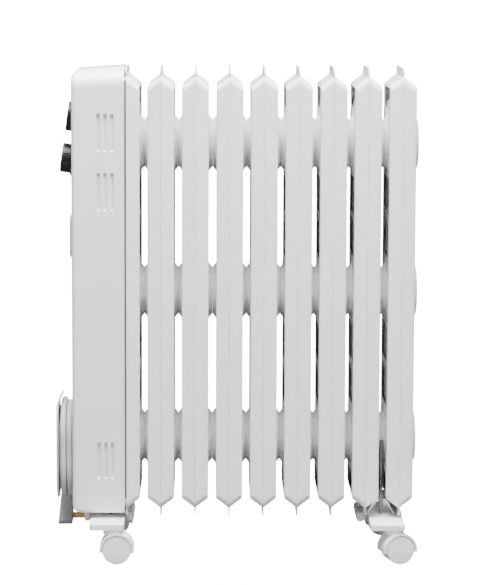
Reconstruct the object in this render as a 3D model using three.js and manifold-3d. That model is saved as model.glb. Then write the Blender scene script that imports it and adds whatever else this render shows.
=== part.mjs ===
// Oil filled radiator heater: nine pressed steel fins, a control housing on the front end,
// a cord winder, and four twin-wheel casters under two saddle feet.
// Millimetres, +Z up, X runs along the fins away from the control housing, floor at z = 0.

import * as THREE from 'three';
import { mergeVertices } from 'three/addons/utils/BufferGeometryUtils.js';
import Module from 'manifold-3d';

const wasm = await Module();
wasm.setup();

// ---------------------------------------------------------------- driving dimensions

const GAP = 0.3;                  // air left between touching pieces
const OVERCUT = 1;                // how far a cutting solid runs past the face that it opens

// Fins
const FIN_COUNT = 9;
const FIN_PITCH = 44.5;
const FIN_HALF_WIDTH = 17.25;     // centre plane to outer wall
const FIN_HALF_DEPTH = 65;        // to the near and far strips
const FIN_SHEET = 0.9;
const SHOULDER_LOW = 78.6;
const SHOULDER_HIGH = 617;
const APEX_LOW = 66;
const APEX_HIGH = 629;
const SEAM_LOW = 55.3;            // weld flange, standing below and above the roof
const SEAM_HIGH = 640;
const SEAM_HALF_DEPTH = 62;
const SEAM_CORNER = 7;
const STRIP_RIDGE = 1.2;          // the strip's crown along its middle
const HIDDEN_HALF_DEPTH = 62;     // the first fin's front half, which sits inside the control housing
const STRIP_BEND = 3;             // bend from the strip into the wall

// Oil passages, and the flat oil chamber between the two pressed halves of a fin
const HUB_HEIGHTS = [152, 346, 540];
const HUB_WALL_RADIUS = 37;
const HUB_WAIST_RADIUS = 31;
const HUB_BORE_RADIUS = 28.5;
const HUB_SIDES = 12;
const BORE_SIDES = 8;
const END_BOSS = 6;               // how far the last fin's closed hubs stand out
const FILLER_HEAD = 1.6;
const CHAMBER_REACH = 8.5;
const CHAMBER_HALF_DEPTH = 40;
const CHAMBER_LOW = 100;
const CHAMBER_HIGH = 596;

// Warm air slots in the fin walls
const SLOT_HALF_DEPTH = 49;
const SLOT_SPANS = [[82, 109], [199, 245], [256.5, 302.5], [393.5, 439.5], [451, 497], [587, 614]];

// Control housing, measured from the first fin's centre plane
const HOUSING_FRONT = 70.5;
const HOUSING_REAR = 2.5;
const HOUSING_HALF_DEPTH = 67;
const HOUSING_LOW = 60.2;
const HOUSING_HIGH = 641;
const HOUSING_WALL = 1.6;
const HOUSING_FRONT_RADIUS = 11;
const HOUSING_TOP_RADIUS = 14;
const HOUSING_EDGE_RADIUS = 6;

// Grooves in the housing's sides
const GROOVE_OFFSETS = [35.7, 26.9, 18.1];
const GROOVE_SPANS = [[531, 582], [455, 506], [105, 155]];
const GROOVE_WIDTH = 4.9;
const GROOVE_DEPTH = 2.4;
const GROOVE_END = 0.98;          // a groove end's corner radius, as a share of half its width

// Sloping control panel
const PANEL_TILT = THREE.MathUtils.degToRad(8);
const PANEL_MIDDLE = [-63.8, 545];
const PANEL_LOW = 498;
const PANEL_HIGH = 607;
const PANEL_HALF_DEPTH = 44;
const PANEL_SHEET = 2;
const KNOB_SPACING = 54.6;
const KNOB_RADIUS = 18;
const KNOB_HEIGHT = 17;
const KNOB_SKIRT_RADIUS = 22.5;
const KNOB_RIBS = 20;
const KNOB_RIB_DEPTH = 1.2;
const KNOB_BASE = 3.2;            // thickness of the skirt, with its gap to the panel
const KNOB_BORE_GAP = 0.3;
const SHAFT_RADIUS = 3;
const SHAFT_REACH = 12;           // how far a control's shaft stands out of the panel

// Cord and winder
const CORD_RADIUS = 3.75;
const CORD_SIDES = 10;
const WINDER_REACH = 92.5;        // outer face of the winder's flange from the first fin
const WINDER_FLANGE = 3;
const WIND_Y = -16;
const WIND_LOW = 116.5;           // centres of the winding's two round ends
const WIND_HIGH = 161.5;
const TURN_RADII = [37.5, 30, 22.5];  // the turns of a layer, at the middle of the cord
const LAYERS = [75.1, 83.2];      // how far each layer lies in front of the first fin
const PLUG_Y = 42;
const TAIL_RADIUS = 40;
const TAIL_MIDDLE = 160;

// Feet and casters
const SADDLE_HALF_DEPTH = 36;
const SADDLE_TOP = 55;
const SADDLE_SHEET = 1.4;
const CARRIER_WIDTH = 44.6;
const CARRIER_NEAR = 13;
const CARRIER_FAR = 102;
const CARRIER_TOP = 53.3;
const CARRIER_THICKNESS = 8.6;
const SWIVEL_Y = 87;
const TRAIL = 5;
const WHEEL_RADIUS = 18.5;        // to the middle of a flat
const WHEEL_FLATS = 20;
const WHEEL_WIDTH = 13;
const WHEEL_SPACING = 4.4;        // between the two wheels of one caster
const FENDER_INNER = 19.4;
const FENDER_OUTER = 22.4;
const U_BOLT_RADIUS = 2.4;
const U_BOLT_HALF_SPAN = 35.5;
const U_BOLT_LOW = 33;

// The object stands centred on the origin, from the winder's flange to the oil filler's head.
const LENGTH = WINDER_REACH + (FIN_COUNT - 1) * FIN_PITCH + FIN_HALF_WIDTH + END_BOSS + GAP + FILLER_HEAD;
const FIRST_FIN = WINDER_REACH - LENGTH / 2;
const finX = (number) => FIRST_FIN + (number - 1) * FIN_PITCH;

// Each foot's name, and the places along X of its U-bolt, its carriers' middle and its swivels
const LEFT_FOOT = {
  name: 'left',
  bolt: FIRST_FIN - FIN_PITCH / 2,
  centre: FIRST_FIN - 24.9,
  swivel: FIRST_FIN - 17,
};
const RIGHT_FOOT = {
  name: 'right',
  bolt: finX(FIN_COUNT) - FIN_PITCH / 2,
  centre: finX(FIN_COUNT) - 16.75,
  swivel: finX(FIN_COUNT) - 8.4,
};

// ---------------------------------------------------------------- finishes

function finish(color, roughness, metalness = 0) {
  return new THREE.MeshStandardMaterial({ color, roughness, metalness });
}

const FINISHES = {
  enamel: finish(0xe4e4e2, 0.38),
  plastic: finish(0xe2e2e0, 0.45),
  whitePlastic: finish(0xf2f2f0, 0.4),
  black: finish(0x2a2a2c, 0.5),
  grey: finish(0xb9b9b7, 0.55),
  cord: finish(0xc9c9c6, 0.6),
  zinc: finish(0x8c9690, 0.35, 1),
  steel: finish(0x9a9c9e, 0.4, 1),
  brass: finish(0xb08d3c, 0.35, 1),
  ceramic: finish(0xe8e2d4, 0.6),
};

// ---------------------------------------------------------------- solids

// A closed geometry as a solid: positions only, no slivers, faces out.
function solid(geometry) {
  let plain = geometry.clone();
  plain.deleteAttribute('normal');
  plain.deleteAttribute('uv');
  plain = mergeVertices(plain, 1e-4);
  const corners = [];
  const position = plain.attributes.position;
  const index = plain.index.array;
  let volume = 0;
  const a = new THREE.Vector3();
  const b = new THREE.Vector3();
  const c = new THREE.Vector3();
  for (let i = 0; i < index.length; i += 3) {
    const [p, q, r] = index.slice(i, i + 3);
    if (p === q || q === r || r === p) continue;
    corners.push(p, q, r);
    a.fromBufferAttribute(position, p);
    b.fromBufferAttribute(position, q);
    c.fromBufferAttribute(position, r);
    volume += a.dot(b.cross(c));
  }
  if (volume < 0) corners.reverse();
  return new wasm.Manifold(new wasm.Mesh({
    numProp: 3,
    vertProperties: new Float32Array(position.array),
    triVerts: new Uint32Array(corners),
  }));
}

function geometryOf(shape) {
  const { vertProperties, triVerts } = shape.getMesh();
  const geometry = new THREE.BufferGeometry();
  geometry.setAttribute('position', new THREE.BufferAttribute(new Float32Array(vertProperties), 3));
  geometry.setIndex(new THREE.BufferAttribute(new Uint32Array(triVerts), 1));
  return geometry;
}

// A named sub-part; place, where it is given, is a matrix that moves it from where it is drawn.
function node(name, shape, material, place = new THREE.Matrix4()) {
  const mesh = new THREE.Mesh(geometryOf(shape), material);
  mesh.geometry.computeVertexNormals();
  mesh.applyMatrix4(place);
  mesh.name = name;
  return mesh;
}

const sum = (shapes) => shapes.reduce((whole, shape) => whole.add(shape));
const cut = (shape, cutters) => cutters.reduce((whole, cutter) => whole.subtract(cutter), shape);

// A box from its low corner to its high corner.
function block([x0, y0, z0], [x1, y1, z1]) {
  const box = new THREE.BoxGeometry(x1 - x0, y1 - y0, z1 - z0);
  return solid(box.translate((x0 + x1) / 2, (y0 + y1) / 2, (z0 + z1) / 2));
}

// An outline of [across, up, radius] corners; a corner with a radius is rounded.
function outline(corners) {
  const shape = new THREE.Shape();
  corners.forEach(([u, v, radius = 0], i) => {
    const here = new THREE.Vector2(u, v);
    const before = new THREE.Vector2(...corners.at(i - 1));
    const after = new THREE.Vector2(...corners[(i + 1) % corners.length]);
    const start = here.clone().add(before.sub(here).setLength(radius));
    const end = here.clone().add(after.sub(here).setLength(radius));
    if (i === 0) shape.moveTo(start.x, start.y);
    else shape.lineTo(start.x, start.y);
    if (radius > 0) shape.quadraticCurveTo(u, v, end.x, end.y);
  });
  shape.closePath();
  return shape;
}

function extruded(shape, depth, curveSegments) {
  return new THREE.ExtrudeGeometry(shape, { depth, bevelEnabled: false, curveSegments });
}

// Outlines drawn in (x, z), (y, z) and (x, y), pushed along the third axis.
function alongY(shape, y0, y1, segments = 3) {
  return solid(extruded(shape, y1 - y0, segments).rotateX(Math.PI / 2).translate(0, y1, 0));
}

function alongX(shape, x0, x1, segments = 3) {
  const turn = new THREE.Matrix4().makeBasis(
    new THREE.Vector3(0, 1, 0),
    new THREE.Vector3(0, 0, 1),
    new THREE.Vector3(1, 0, 0),
  );
  return solid(extruded(shape, x1 - x0, segments).applyMatrix4(turn).translate(x0, 0, 0));
}

function alongZ(shape, z0, z1, segments = 3) {
  return solid(extruded(shape, z1 - z0, segments).translate(0, 0, z0));
}

const rectangle = (u0, v0, u1, v1, radius = 0) =>
  outline([[u0, v0, radius], [u1, v0, radius], [u1, v1, radius], [u0, v1, radius]]);

// A turned solid about an axis; the profile is [along, radius] pairs between two points on the axis.
function turned(axis, [x, y, z], profile, sides) {
  const points = profile.map(([along, radius]) => new THREE.Vector2(radius, along));
  const geometry = new THREE.LatheGeometry(points, sides);
  if (axis === 'x') geometry.rotateZ(-Math.PI / 2);
  if (axis === 'z') geometry.rotateX(Math.PI / 2);
  return solid(geometry.translate(x, y, z));
}

const rod = (axis, place, from, to, radius, sides) =>
  turned(axis, place, [[from, 0], [from, radius], [to, radius], [to, 0]], sides);

// A round tube along a curve through points.
function tube(curve, radius, sides, steps) {
  const section = new THREE.Shape();
  section.absarc(0, 0, radius, 0, 2 * Math.PI);
  return solid(new THREE.ExtrudeGeometry(section, {
    steps,
    extrudePath: curve,
    curveSegments: sides,
  }));
}

// A rod bent into a U: two straight legs of given reach and a half circle of the given radius.
// It is drawn with the legs along -X from the bend's centre, in the XY plane.
function bentRod(bendRadius, leg, radius, sides, steps) {
  const points = Array.from({ length: steps + 1 }, (_, i) => {
    const angle = -Math.PI / 2 + (i * Math.PI) / steps;
    return new THREE.Vector3(bendRadius * Math.cos(angle), bendRadius * Math.sin(angle), 0);
  });
  const start = new THREE.Vector3(-1, -bendRadius, 0);
  const end = new THREE.Vector3(-1, bendRadius, 0);
  const bend = tube(new THREE.CatmullRomCurve3([start, ...points, end]), radius, sides, steps + 2);
  const legs = [-1, 1].map((side) => rod('x', [0, side * bendRadius, 0], -leg, -0.5, radius, 2 * sides));
  return sum([bend, ...legs]);
}

// ---------------------------------------------------------------- fins

function hub(x, side, height, closed) {
  const outer = closed ? FIN_HALF_WIDTH + closed : FIN_PITCH / 2 - GAP / 2;
  const profile = [
    [CHAMBER_REACH - FIN_SHEET, 0],
    [CHAMBER_REACH - FIN_SHEET, HUB_WALL_RADIUS - 1],
    [FIN_HALF_WIDTH, HUB_WALL_RADIUS],
    [outer, HUB_WAIST_RADIUS],
    [outer, 0],
  ];
  return turned('x', [x, 0, height], profile.map(([along, radius]) => [side * along, radius]), HUB_SIDES);
}

function hubBore(x, side, height, closed) {
  const outer = closed ? FIN_HALF_WIDTH + closed - FIN_SHEET : FIN_PITCH / 2 + OVERCUT;
  const from = CHAMBER_REACH - 2 * FIN_SHEET;
  return rod('x', [x, 0, height], side * from, side * outer, HUB_BORE_RADIUS, BORE_SIDES);
}

// Half of a fin's box: a hexagon from the side and a crowned, round-edged strip from above.
function halfBox(x, side, depth, ridge) {
  const low = GAP / 2;
  const wall = FIN_HALF_WIDTH;
  const front = outline([
    [x + side * low, APEX_LOW],
    [x + side * wall, SHOULDER_LOW],
    [x + side * wall, SHOULDER_HIGH],
    [x + side * low, APEX_HIGH],
  ]);
  const plan = outline([
    [x + side * low, -depth - ridge],
    [x + side * (wall - STRIP_BEND), -depth],
    [x + side * wall, STRIP_BEND - depth],
    [x + side * wall, depth - STRIP_BEND],
    [x + side * (wall - STRIP_BEND), depth],
    [x + side * low, depth + ridge],
  ]);
  const reach = depth + 2 * ridge;
  return alongY(front, -reach, reach).intersect(alongZ(plan, APEX_LOW - OVERCUT, APEX_HIGH + OVERCUT));
}

// The air inside that half, one sheet's thickness in from every face.
function halfBoxHollow(x, side, halfDepth) {
  const low = GAP / 2 + FIN_SHEET;
  const wall = FIN_HALF_WIDTH - FIN_SHEET;
  const depth = halfDepth - FIN_SHEET;
  const roof = FIN_SHEET * Math.hypot(1, (SHOULDER_LOW - APEX_LOW) / FIN_HALF_WIDTH);
  const slope = (SHOULDER_LOW - APEX_LOW) / (FIN_HALF_WIDTH - GAP / 2);
  const rise = (across) => (across - GAP / 2) * slope + roof;
  const front = outline([
    [x + side * low, APEX_LOW + rise(low)],
    [x + side * wall, APEX_LOW + rise(wall)],
    [x + side * wall, APEX_HIGH - rise(wall)],
    [x + side * low, APEX_HIGH - rise(low)],
  ]);
  return alongY(front, -depth, depth);
}

// The weld flange: a flat sheet on the fin's centre plane with its corners cut.
function weldFlange(x, side) {
  const d = SEAM_HALF_DEPTH;
  const c = SEAM_CORNER;
  const sheet = outline([
    [c - d, SEAM_LOW], [d - c, SEAM_LOW], [d, SEAM_LOW + c], [d, SEAM_HIGH - c],
    [d - c, SEAM_HIGH], [c - d, SEAM_HIGH], [-d, SEAM_HIGH - c], [-d, SEAM_LOW + c],
  ]);
  const faces = [x + side * GAP / 2, x + side * (GAP / 2 + FIN_SHEET)].sort((a, b) => a - b);
  return alongX(sheet, ...faces);
}

function span(x, side, near, far) {
  return [x + side * near, x + side * far].sort((a, b) => a - b);
}

function chamber(x, side, near, far, inset) {
  const [x0, x1] = span(x, side, near, far);
  const d = CHAMBER_HALF_DEPTH - inset;
  return block([x0, -d, CHAMBER_LOW + inset], [x1, d, CHAMBER_HIGH - inset]);
}

// One pressed half of a fin. closedHubs gives, for each hub height, how far a closed end stands out.
function finShell(number, side, closedHubs = {}, depth = FIN_HALF_DEPTH) {
  const x = finX(number);
  const hubs = HUB_HEIGHTS.map((height) => hub(x, side, height, closedHubs[height]));
  const bores = HUB_HEIGHTS.map((height) => hubBore(x, side, height, closedHubs[height]));
  const slots = SLOT_SPANS.map(([low, high]) => {
    const [x0, x1] = span(x, side, FIN_HALF_WIDTH - 2 * FIN_SHEET, FIN_HALF_WIDTH + OVERCUT);
    return block([x0, -SLOT_HALF_DEPTH, low], [x1, SLOT_HALF_DEPTH, high]);
  });
  const shield = cut(halfBox(x, side, depth, STRIP_RIDGE), [halfBoxHollow(x, side, depth), ...slots]);
  const oilSide = chamber(x, side, GAP / 2, CHAMBER_REACH, 0);
  const oilSpace = chamber(x, side, -OVERCUT, CHAMBER_REACH - FIN_SHEET, FIN_SHEET);
  const whole = sum([shield, weldFlange(x, side), oilSide, ...hubs]);
  const name = `fin_${number}_${side < 0 ? 'front' : 'rear'}_shell`;
  return node(name, cut(whole, [oilSpace, ...bores]), FINISHES.enamel);
}

function fins() {
  const group = new THREE.Group();
  const reach = FIN_PITCH / 2 - FIN_HALF_WIDTH;
  const firstEnds = { [HUB_HEIGHTS[1]]: reach, [HUB_HEIGHTS[2]]: reach };
  const lastEnds = Object.fromEntries(HUB_HEIGHTS.map((height) => [height, END_BOSS]));
  for (let number = 1; number <= FIN_COUNT; number++) {
    const first = number === 1;
    const last = number === FIN_COUNT;
    group.add(finShell(number, -1, first ? firstEnds : {}, first ? HIDDEN_HALF_DEPTH : FIN_HALF_DEPTH));
    group.add(finShell(number, 1, last ? lastEnds : {}));
  }
  return group;
}

// The oil filler's sealing plug, on the last fin's lowest end boss.
function fillerPlug() {
  const face = finX(FIN_COUNT) + FIN_HALF_WIDTH + END_BOSS + GAP;
  const head = [[0, 0], [0, 6], [FILLER_HEAD / 2, 6], [FILLER_HEAD, 4.5], [FILLER_HEAD, 0]];
  return node('oil_filler_plug', turned('x', [face, 0, HUB_HEIGHTS[0]], head, 12), FINISHES.enamel);
}

// ---------------------------------------------------------------- heating element

const ELEMENT_LEG_Y = 12;
const ELEMENT_TUBE_RADIUS = 4;
const ELEMENT_DROP = 6;             // the legs lie below the middle of the oil passage
const COLLAR_SHEET = 1.6;
const COLLAR_REAR = FIRST_FIN - FIN_PITCH / 2 - GAP / 2;
const COLLAR_FRONT = COLLAR_REAR - (FIN_PITCH / 2 - FIN_HALF_WIDTH);
const HEX_FRONT = COLLAR_FRONT - 7;
const TERMINAL_FRONT = HEX_FRONT - 8;

function heatingElement() {
  const bend = finX(FIN_COUNT) - ELEMENT_LEG_Y;
  const hairpin = bentRod(ELEMENT_LEG_Y, bend - TERMINAL_FRONT, ELEMENT_TUBE_RADIUS, 4, 8);
  const place = new THREE.Matrix4().makeTranslation(bend, 0, HUB_HEIGHTS[0] - ELEMENT_DROP);
  return node('heating_element', hairpin, FINISHES.steel, place);
}

function elementHoles(radius) {
  const z = HUB_HEIGHTS[0] - ELEMENT_DROP;
  return [-ELEMENT_LEG_Y, ELEMENT_LEG_Y].map((y) =>
    rod('x', [0, y, z], TERMINAL_FRONT - OVERCUT, FIRST_FIN, radius, 12));
}

function elementFlange() {
  const profile = [
    [COLLAR_REAR, 0],
    [COLLAR_REAR, HUB_WAIST_RADIUS],
    [COLLAR_FRONT, HUB_WALL_RADIUS],
    [COLLAR_FRONT - COLLAR_SHEET, HUB_WALL_RADIUS],
    [COLLAR_FRONT - COLLAR_SHEET, 22],
    [HEX_FRONT, 22],
    [HEX_FRONT, 0],
  ];
  const flange = turned('x', [0, 0, HUB_HEIGHTS[0]], profile, 16);
  return node('element_flange', cut(flange, elementHoles(ELEMENT_TUBE_RADIUS + GAP)), FINISHES.steel);
}

// The safety cut-out: a small disc thermostat with two tabs, on the element's flange.
function thermalCutout() {
  const place = [HEX_FRONT - GAP, 0, HUB_HEIGHTS[0] + 9];
  const body = turned('x', place, [[0, 0], [0, 8], [-5, 8], [-8, 6.5], [-8, 0]], 16);
  const [front, , middle] = place;
  const tab = (y) => block([front - 14, y - 2.4, middle - 0.5], [front - 7.5, y + 2.4, middle + 0.5]);
  const tabs = [-3.8, 3.8].map(tab);
  return node('thermal_cutout', sum([body, ...tabs]), FINISHES.ceramic);
}

// ---------------------------------------------------------------- control housing

const HOUSING_FRONT_X = FIRST_FIN - HOUSING_FRONT;
const HOUSING_REAR_X = FIRST_FIN - HOUSING_REAR;
const CHASSIS_REAR = COLLAR_FRONT - COLLAR_SHEET - 1;
const CHASSIS_SHEET = 1.2;
const BOLT_HOLE_RADIUS = 3.4;

function housingBody(inset) {
  const front = HOUSING_FRONT_X + inset;
  const rear = HOUSING_REAR_X + (inset ? OVERCUT : 0);
  const low = HOUSING_LOW + inset;
  const high = HOUSING_HIGH - inset;
  const d = HOUSING_HALF_DEPTH - inset;
  const frontRadius = HOUSING_FRONT_RADIUS - inset;
  const edgeRadius = HOUSING_EDGE_RADIUS - inset;
  const topRadius = HOUSING_TOP_RADIUS - inset;
  const side = outline([[front, low, frontRadius], [rear, low], [rear, high], [front, high, frontRadius]]);
  const end = outline([
    [-d, low, edgeRadius],
    [d, low, edgeRadius],
    [d, high, topRadius],
    [-d, high, topRadius],
  ]);
  const plan = outline([[front, -d, edgeRadius], [rear, -d], [rear, d], [front, d, edgeRadius]]);
  return alongY(side, -d, d, 4)
    .intersect(alongX(end, front, rear, 4))
    .intersect(alongZ(plan, low, high, 3));
}

function groovePlaces() {
  const groups = [-1, 1].flatMap((side) => GROOVE_SPANS.map(([low, high]) => ({ side, low, high })));
  return groups.flatMap((group) => GROOVE_OFFSETS.map((offset) => ({ ...group, x: FIRST_FIN - offset })));
}

// A blind vertical groove with round ends in the housing's side.
function groove({ side, low, high, x }) {
  const half = GROOVE_WIDTH / 2;
  const face = side * HOUSING_HALF_DEPTH;
  const [y0, y1] = [face - side * GROOVE_DEPTH, face + side * OVERCUT].sort((a, b) => a - b);
  return alongY(rectangle(x - half, low, x + half, high, half * GROOVE_END), y0, y1, 1);
}

// The wall is thicker behind each group of grooves.
function groovePad(side, [low, high]) {
  const inner = HOUSING_HALF_DEPTH - GROOVE_DEPTH - HOUSING_WALL;
  const outer = HOUSING_HALF_DEPTH - HOUSING_WALL / 2;
  const [y0, y1] = [side * inner, side * outer].sort((a, b) => a - b);
  const [first, , last] = GROOVE_OFFSETS;
  const margin = GROOVE_WIDTH / 2 + 2;
  return block([FIRST_FIN - first - margin, y0, low - 3], [FIRST_FIN - last + margin, y1, high + 3]);
}

function boltHoles(foot, low, high) {
  const hole = (end) => rod('z', [foot.bolt, end * U_BOLT_HALF_SPAN, 0], low, high, BOLT_HOLE_RADIUS, 12);
  return [-1, 1].map(hole);
}

function housing() {
  const pads = [-1, 1].flatMap((side) => GROOVE_SPANS.map((groups) => groovePad(side, groups)));
  const half = PANEL_HALF_DEPTH + PANEL_SHEET + GAP;
  const opening = block(
    [HOUSING_FRONT_X - OVERCUT, -half, PANEL_LOW - PANEL_SHEET - GAP],
    [HOUSING_FRONT_X + 2 * HOUSING_WALL, half, PANEL_HIGH + PANEL_SHEET + GAP],
  );
  const glandPlace = [HOUSING_FRONT_X, GLAND_Y, GLAND_Z];
  const gland = rod('x', glandPlace, -OVERCUT, 2 * HOUSING_WALL, GLAND_NECK + GAP, 12);
  const shell = cut(housingBody(0), [housingBody(HOUSING_WALL)]);
  const bolts = boltHoles(LEFT_FOOT, HOUSING_LOW - OVERCUT, HOUSING_LOW + 2 * HOUSING_WALL);
  const cutters = [...groovePlaces().map(groove), opening, gland, ...bolts];
  return node('control_housing', cut(sum([shell, ...pads]), cutters), FINISHES.plastic);
}

// The steel plate that the housing and its switches are fastened to, with a folded foot.
function chassis() {
  const front = CHASSIS_REAR - CHASSIS_SHEET;
  const d = HOUSING_HALF_DEPTH - 7;
  const low = HOUSING_LOW + HOUSING_WALL + 2;
  const plate = block([front, -d, low], [CHASSIS_REAR, d, HOUSING_HIGH - 8]);
  const foot = block([front - 22, -d, low], [front + CHASSIS_SHEET / 2, d, low + CHASSIS_SHEET]);
  const window = rod('x', [front, 0, HUB_HEIGHTS[0]], -OVERCUT, 2 * CHASSIS_SHEET, 26, 20);
  return node('chassis_plate', cut(sum([plate, foot]), [window]), FINISHES.zinc);
}

function badge() {
  const face = HOUSING_FRONT_X - GAP;
  const shape = rectangle(-11, 388, 11, 446, 10.5);
  const smaller = rectangle(-9, 390, 9, 444, 8.5);
  const plate = sum([alongX(shape, face - 3.6, face, 5), alongX(smaller, face - 5.2, face - 3, 5)]);
  return node('front_badge_plate', plate, FINISHES.plastic);
}

// ---------------------------------------------------------------- control panel

const panelX = (z) => FIRST_FIN + PANEL_MIDDLE[0] + (z - PANEL_MIDDLE[1]) * Math.tan(PANEL_TILT);

function wedge(inset, halfDepth, front) {
  const low = PANEL_LOW + inset;
  const high = PANEL_HIGH - inset;
  const back = inset < 0 ? PANEL_SHEET : 0;
  const shape = outline([
    [front, low],
    [Math.max(front + 0.5, panelX(low) + back), low],
    [panelX(high) + back, high],
    [front, high],
  ]);
  return alongY(shape, -halfDepth, halfDepth);
}

// The place of a thing set square to the sloping panel, at a distance up the panel from its middle.
// Such a thing is drawn at the origin with -X outward.
function panelPlace(along) {
  const place = new THREE.Matrix4().makeRotationY(PANEL_TILT);
  const shift = new THREE.Vector3(0, 0, along).applyMatrix4(place);
  return place.setPosition(FIRST_FIN + PANEL_MIDDLE[0] + shift.x, 0, PANEL_MIDDLE[1] + shift.z);
}

function controlPanel() {
  const tray = cut(
    wedge(-PANEL_SHEET, PANEL_HALF_DEPTH + PANEL_SHEET, HOUSING_FRONT_X + 0.2),
    [wedge(0, PANEL_HALF_DEPTH, HOUSING_FRONT_X - OVERCUT)],
  );
  const hole = geometryOf(rod('x', [0, 0, 0], -3, 8, SHAFT_RADIUS + 1.2, 12));
  const holes = [-1, 1].map((end) => solid(hole.clone().applyMatrix4(panelPlace((end * KNOB_SPACING) / 2))));
  return node('control_panel', cut(tray, holes), FINISHES.plastic);
}

function knob(name, along) {
  const base = rod('x', [0, 0, 0], -KNOB_BASE, -0.4, KNOB_SKIRT_RADIUS, 24);
  const ribs = [];
  for (let i = 0; i < 2 * KNOB_RIBS; i++) {
    const radius = i % 2 ? KNOB_RADIUS : KNOB_RADIUS - KNOB_RIB_DEPTH;
    const angle = (i * Math.PI) / KNOB_RIBS;
    ribs.push([radius * Math.cos(angle), radius * Math.sin(angle)]);
  }
  const grip = alongX(outline(ribs), -KNOB_HEIGHT + 1, -KNOB_BASE + 0.5);
  const shoulder = -KNOB_HEIGHT + 3;
  const cap = turned('x', [0, 0, 0], [
    [shoulder, 0],
    [shoulder, KNOB_RADIUS - 1],
    [-KNOB_HEIGHT, KNOB_RADIUS - 2.5],
    [-KNOB_HEIGHT, 0],
  ], 16);
  const socket = rod('x', [0, 0, 0], -SHAFT_REACH - 0.5, OVERCUT, SHAFT_RADIUS + KNOB_BORE_GAP, 12);
  return node(name, cut(sum([base, grip, cap]), [socket]), FINISHES.black, panelPlace(along));
}

// A boxed control behind the panel with its shaft through it.
function control(name, along, [deep, wide, tall], material) {
  const back = PANEL_SHEET + 0.6;
  const body = block([back, -wide / 2, -tall / 2], [back + deep, wide / 2, tall / 2]);
  const shaft = rod('x', [0, 0, 0], -SHAFT_REACH, back + 1, SHAFT_RADIUS, 12);
  return node(name, sum([body, shaft]), material, panelPlace(along));
}

function terminalBlock() {
  const front = CHASSIS_REAR - CHASSIS_SHEET - GAP;
  const blockBody = block([front - 14, 18, 236], [front, 54, 252]);
  const ways = [24, 36, 48].map((y) => rod('z', [front - 8, y, 0], 230, 258, 2.2, 8));
  return node('terminal_block', cut(blockBody, ways), FINISHES.ceramic);
}

// ---------------------------------------------------------------- cord and winder

const WIND_RADIUS = TURN_RADII[0] + CORD_RADIUS;
const WIND_INNER_RADIUS = TURN_RADII.at(-1) - CORD_RADIUS - GAP;
const [LAYER_INNER, LAYER_OUTER] = LAYERS;
const FLANGE_LOW = 102;           // centres of the winder flange's two round ends
const FLANGE_HIGH = 182;
const FLANGE_RADIUS = 30;
const CURL_FROM = 199.3;           // where the flange's top bends in towards the housing
const GLAND_Y = 22;
const GLAND_Z = WIND_LOW - TURN_RADII[0];
const GLAND_NECK = 5.5;
const GLAND_HOOD = [6, 6.5];      // half width and half height
const SLEEVE_END = 9.5;
const LEAD_END = 8.8;
const PLUG_FACE = HOUSING_FRONT_X - 5;
const PLUG_LOW = 25.5;
const PLUG_TOP = 79;
const PLUG_HALF_WIDTH = 22;
const RELIEF_TOP = 107;
const RELIEF_X = FIRST_FIN - 83.4;

// The plug's rectangular pins: name, places across and up, and sizes across, up and outward
const PINS = [
  { name: 'plug_pin_earth', y: PLUG_Y, z: 35, wide: 4, tall: 8, length: 22.7 },
  { name: 'plug_pin_live', y: PLUG_Y - 11.1, z: 57.2, wide: 6.35, tall: 4, length: 17.7 },
  { name: 'plug_pin_neutral', y: PLUG_Y + 11.1, z: 57.2, wide: 6.35, tall: 4, length: 17.7 },
];
const PIN_ROOT = 5.5;             // how deep a pin is set in the plug

function stadium(y, low, high, radius) {
  const shape = new THREE.Shape();
  shape.absarc(y, high, radius, 0, Math.PI);
  shape.absarc(y, low, radius, Math.PI, 2 * Math.PI);
  shape.closePath();
  return shape;
}

// A flat core with a larger outer flange whose top curls back towards the housing.
function cordWinder() {
  const outer = FIRST_FIN - WINDER_REACH;
  const inner = outer + WINDER_FLANGE;
  const coreOutline = stadium(WIND_Y, WIND_LOW, WIND_HIGH, WIND_INNER_RADIUS - GAP);
  const core = alongX(coreOutline, outer + 1, HOUSING_FRONT_X - GAP, 8);
  const flange = alongX(stadium(WIND_Y, FLANGE_LOW, FLANGE_HIGH, FLANGE_RADIUS), outer, inner, 8);
  const aboveCurl = block([outer - 1, WIND_Y - 40, CURL_FROM], [inner + 1, WIND_Y + 40, CURL_FROM + 40]);
  const curl = outline([
    [outer, CURL_FROM - 1],
    [inner, CURL_FROM - 1],
    [outer + 8.2, CURL_FROM + 12],
    [outer + 5.7, CURL_FROM + 13],
  ]);
  const tip = alongY(curl, WIND_Y - 20, WIND_Y + 20);
  return node('cord_winder', sum([core, cut(flange, [aboveCurl]), tip]), FINISHES.plastic);
}

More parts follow.
